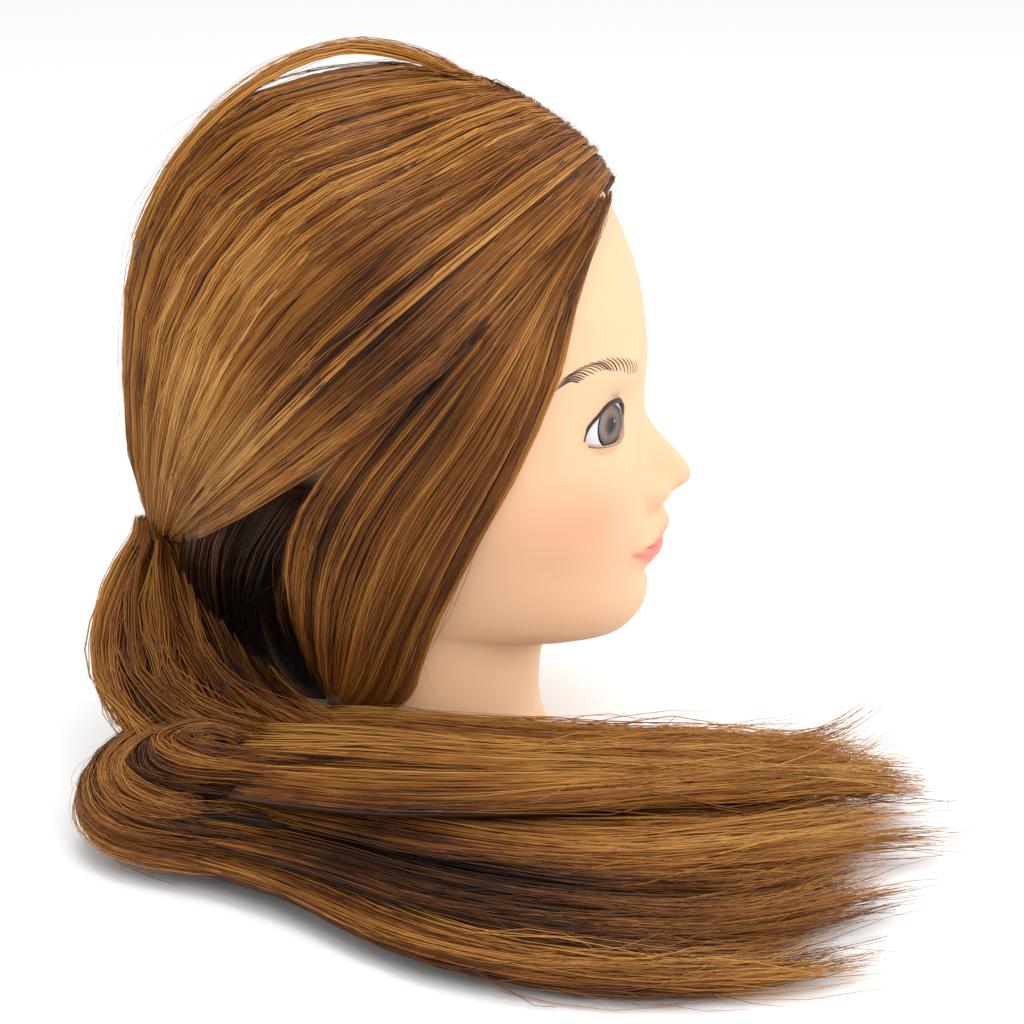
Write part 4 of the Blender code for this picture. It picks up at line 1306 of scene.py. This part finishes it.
def make_band():
    material, tree, shader = finish("elastic_cover", Base_Color=rgba(36, 24, 18), Roughness=0.8)
    place = tree.place()
    weave = tree.noise(tree.stretched(place, (900.0, 900.0, 2600.0)), 1.0, 1.0)
    tree.feed(shader.inputs["Normal"], tree.bump(weave, 0.0003, 0.6))
    around, ribs = 72, 14
    points, faces = [], []
    for i in range(around):
        a = 2 * math.pi * i / around
        for j in range(ribs):
            b = 2 * math.pi * j / ribs
            r = TIE_R + CORD_R * (1 + 0.05 * math.sin(18 * a)) * math.cos(b)
            points.append((r * math.cos(a), r * math.sin(a), CORD_R * math.sin(b)))
            k, m = (i + 1) % around, (j + 1) % ribs
            faces.append((i * ribs + j, k * ribs + j, k * ribs + m, i * ribs + m))
    band = mesh_piece("band", np.array(points) + TIE_CENTRE, faces, material)
    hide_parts("hair_tie")


def paint_brow(side, name, ink, face_tree):
    guides = []
    for stroke in BROW:
        line = []
        for y, z in stroke:
            before = Vector((LOOK_FROM, -side * y, z))
            at, out, _, _ = face_tree.ray_cast(before, Vector((-1.0, 0.0, 0.0)))
            line.append(tuple(at + out * 0.05))
        guides.append(line)
    sheet, _ = lock_sheet(f"brow_{name}_sheet", sheet_grid(guides, 40, 12), 0.1, (1, 0, 0))
    comb(f"brow_{name}", sheet, 20, Points=9, Seed=5, Even=1.0, Wisps=20.0, Gather=0.0, Wander=0.0,
         Cross=0.0, Frizz=0.0002, Start=0.06, Ragged=0.14, Tone=0.1, Contrast=0.1, Material=ink)


def line_lid(side, name, edge, width, ink, face_tree):
    """A painted line round one edge of the opening, as a thin closed strip on the lid."""
    look, temple, up = eye_axes(side)
    path = smooth_path([(a, b, 0.0) for a, b in edge], LINE_STEPS)
    run = np.gradient(path, axis=0)
    out = np.stack([run[:, 1], -run[:, 0]], axis=1)
    out /= np.linalg.norm(out, axis=1, keepdims=True)
    broad = np.interp(np.linspace(0, 1, LINE_STEPS), (0.0, 0.35, 0.75, 1.0), width)
    high, deep = [], []
    for (a, b, _), (da, db), w in zip(path, out, broad):
        for away in (LINE_GAP, LINE_GAP + w * 0.5, LINE_GAP + w):
            start = EYE_CENTRE * (1, side, 1) + look * 40
            start = start + temple * (a + da * away) + up * (b + db * away)
            at, normal, _, _ = face_tree.ray_cast(Vector(start), Vector(-look))
            high.append(at + normal * LINE_HIGH)
            deep.append(at - normal * LINE_DEEP)
    count = len(high)
    faces = []
    for i in range(0, count - 3, 3):
        for a in (i, i + 1):
            faces.append((a, a + 1, a + 4, a + 3))
            faces.append((count + a, count + a + 3, count + a + 4, count + a + 1))
    rim = list(range(0, count, 3)) + [count - 2] + list(range(count - 1, 1, -3)) + [1]
    faces += [(b, a, count + a, count + b) for a, b in zip(rim, rim[1:] + rim[:1])]
    mesh_piece(f"lid_line_{name}", np.array(high + deep), faces, ink)


make_band()
ink, _, _ = finish("brow_ink", Base_Color=rgba(74, 46, 34), Roughness=0.6)
liner, _, _ = finish("lid_liner", Base_Color=rgba(48, 30, 30), Roughness=0.5)
soft_liner, _, _ = finish("lower_liner", Base_Color=rgba(150, 122, 112), Roughness=0.6)
corners = [tuple((np.array(v.co) - AXIS) / MM) for v in skin.data.vertices]
face_tree = BVHTree.FromPolygons(corners, [tuple(p.vertices) for p in skin.data.polygons])
for side, name in ((-1, "right"), (1, "left")):
    paint_brow(side, name, ink, face_tree)
    line_lid(side, f"upper_{name}", UPPER_LID, (0.5, 1.1, 1.5, 0.9), liner, face_tree)
    lower = [UPPER_LID[-1]] + LOWER_LID
    line_lid(side, f"lower_{name}", lower, (0.4, 0.3, 0.4, 0.7), soft_liner, face_tree)

# %% [markdown]
# The hidden and plain parts keep the shapes that the mechanical model gave them, and only take a
# surface of their own: pale foam, moulded black and grey plastic, and bright plated screws.

# %% Plain parts


def plain(name, colour, rough, metal, scale, depth):
    material, tree, shader = finish(name, Base_Color=colour, Metallic=metal)
    grain = tree.noise(tree.place(), scale, 3.0)
    tree.feed(shader.inputs["Roughness"], rough + 0.2 * (grain - 0.5))
    tree.feed(shader.inputs["Normal"], tree.bump(grain, depth, 0.3))
    return material


PLAIN = {
    "rigid_foam": plain("foam", rgba(226, 220, 206), 0.9, 0.0, 420.0, 0.0006),
    "black_abs": plain("black_plastic", rgba(30, 30, 32), 0.45, 0.0, 900.0, 0.0001),
    "grey_abs": plain("grey_plastic", rgba(150, 152, 154), 0.5, 0.0, 900.0, 0.0001),
    "zinc_steel": plain("plated_steel", rgba(196, 198, 200), 0.3, 1.0, 700.0, 0.0001),
}
for entry in frame["record"]["subparts"]:
    if entry["material_slot"] in PLAIN:
        for slot in frame["nodes"][entry["node"]].material_slots:
            slot.material = PLAIN[entry["material_slot"]]
print("plain parts finished")
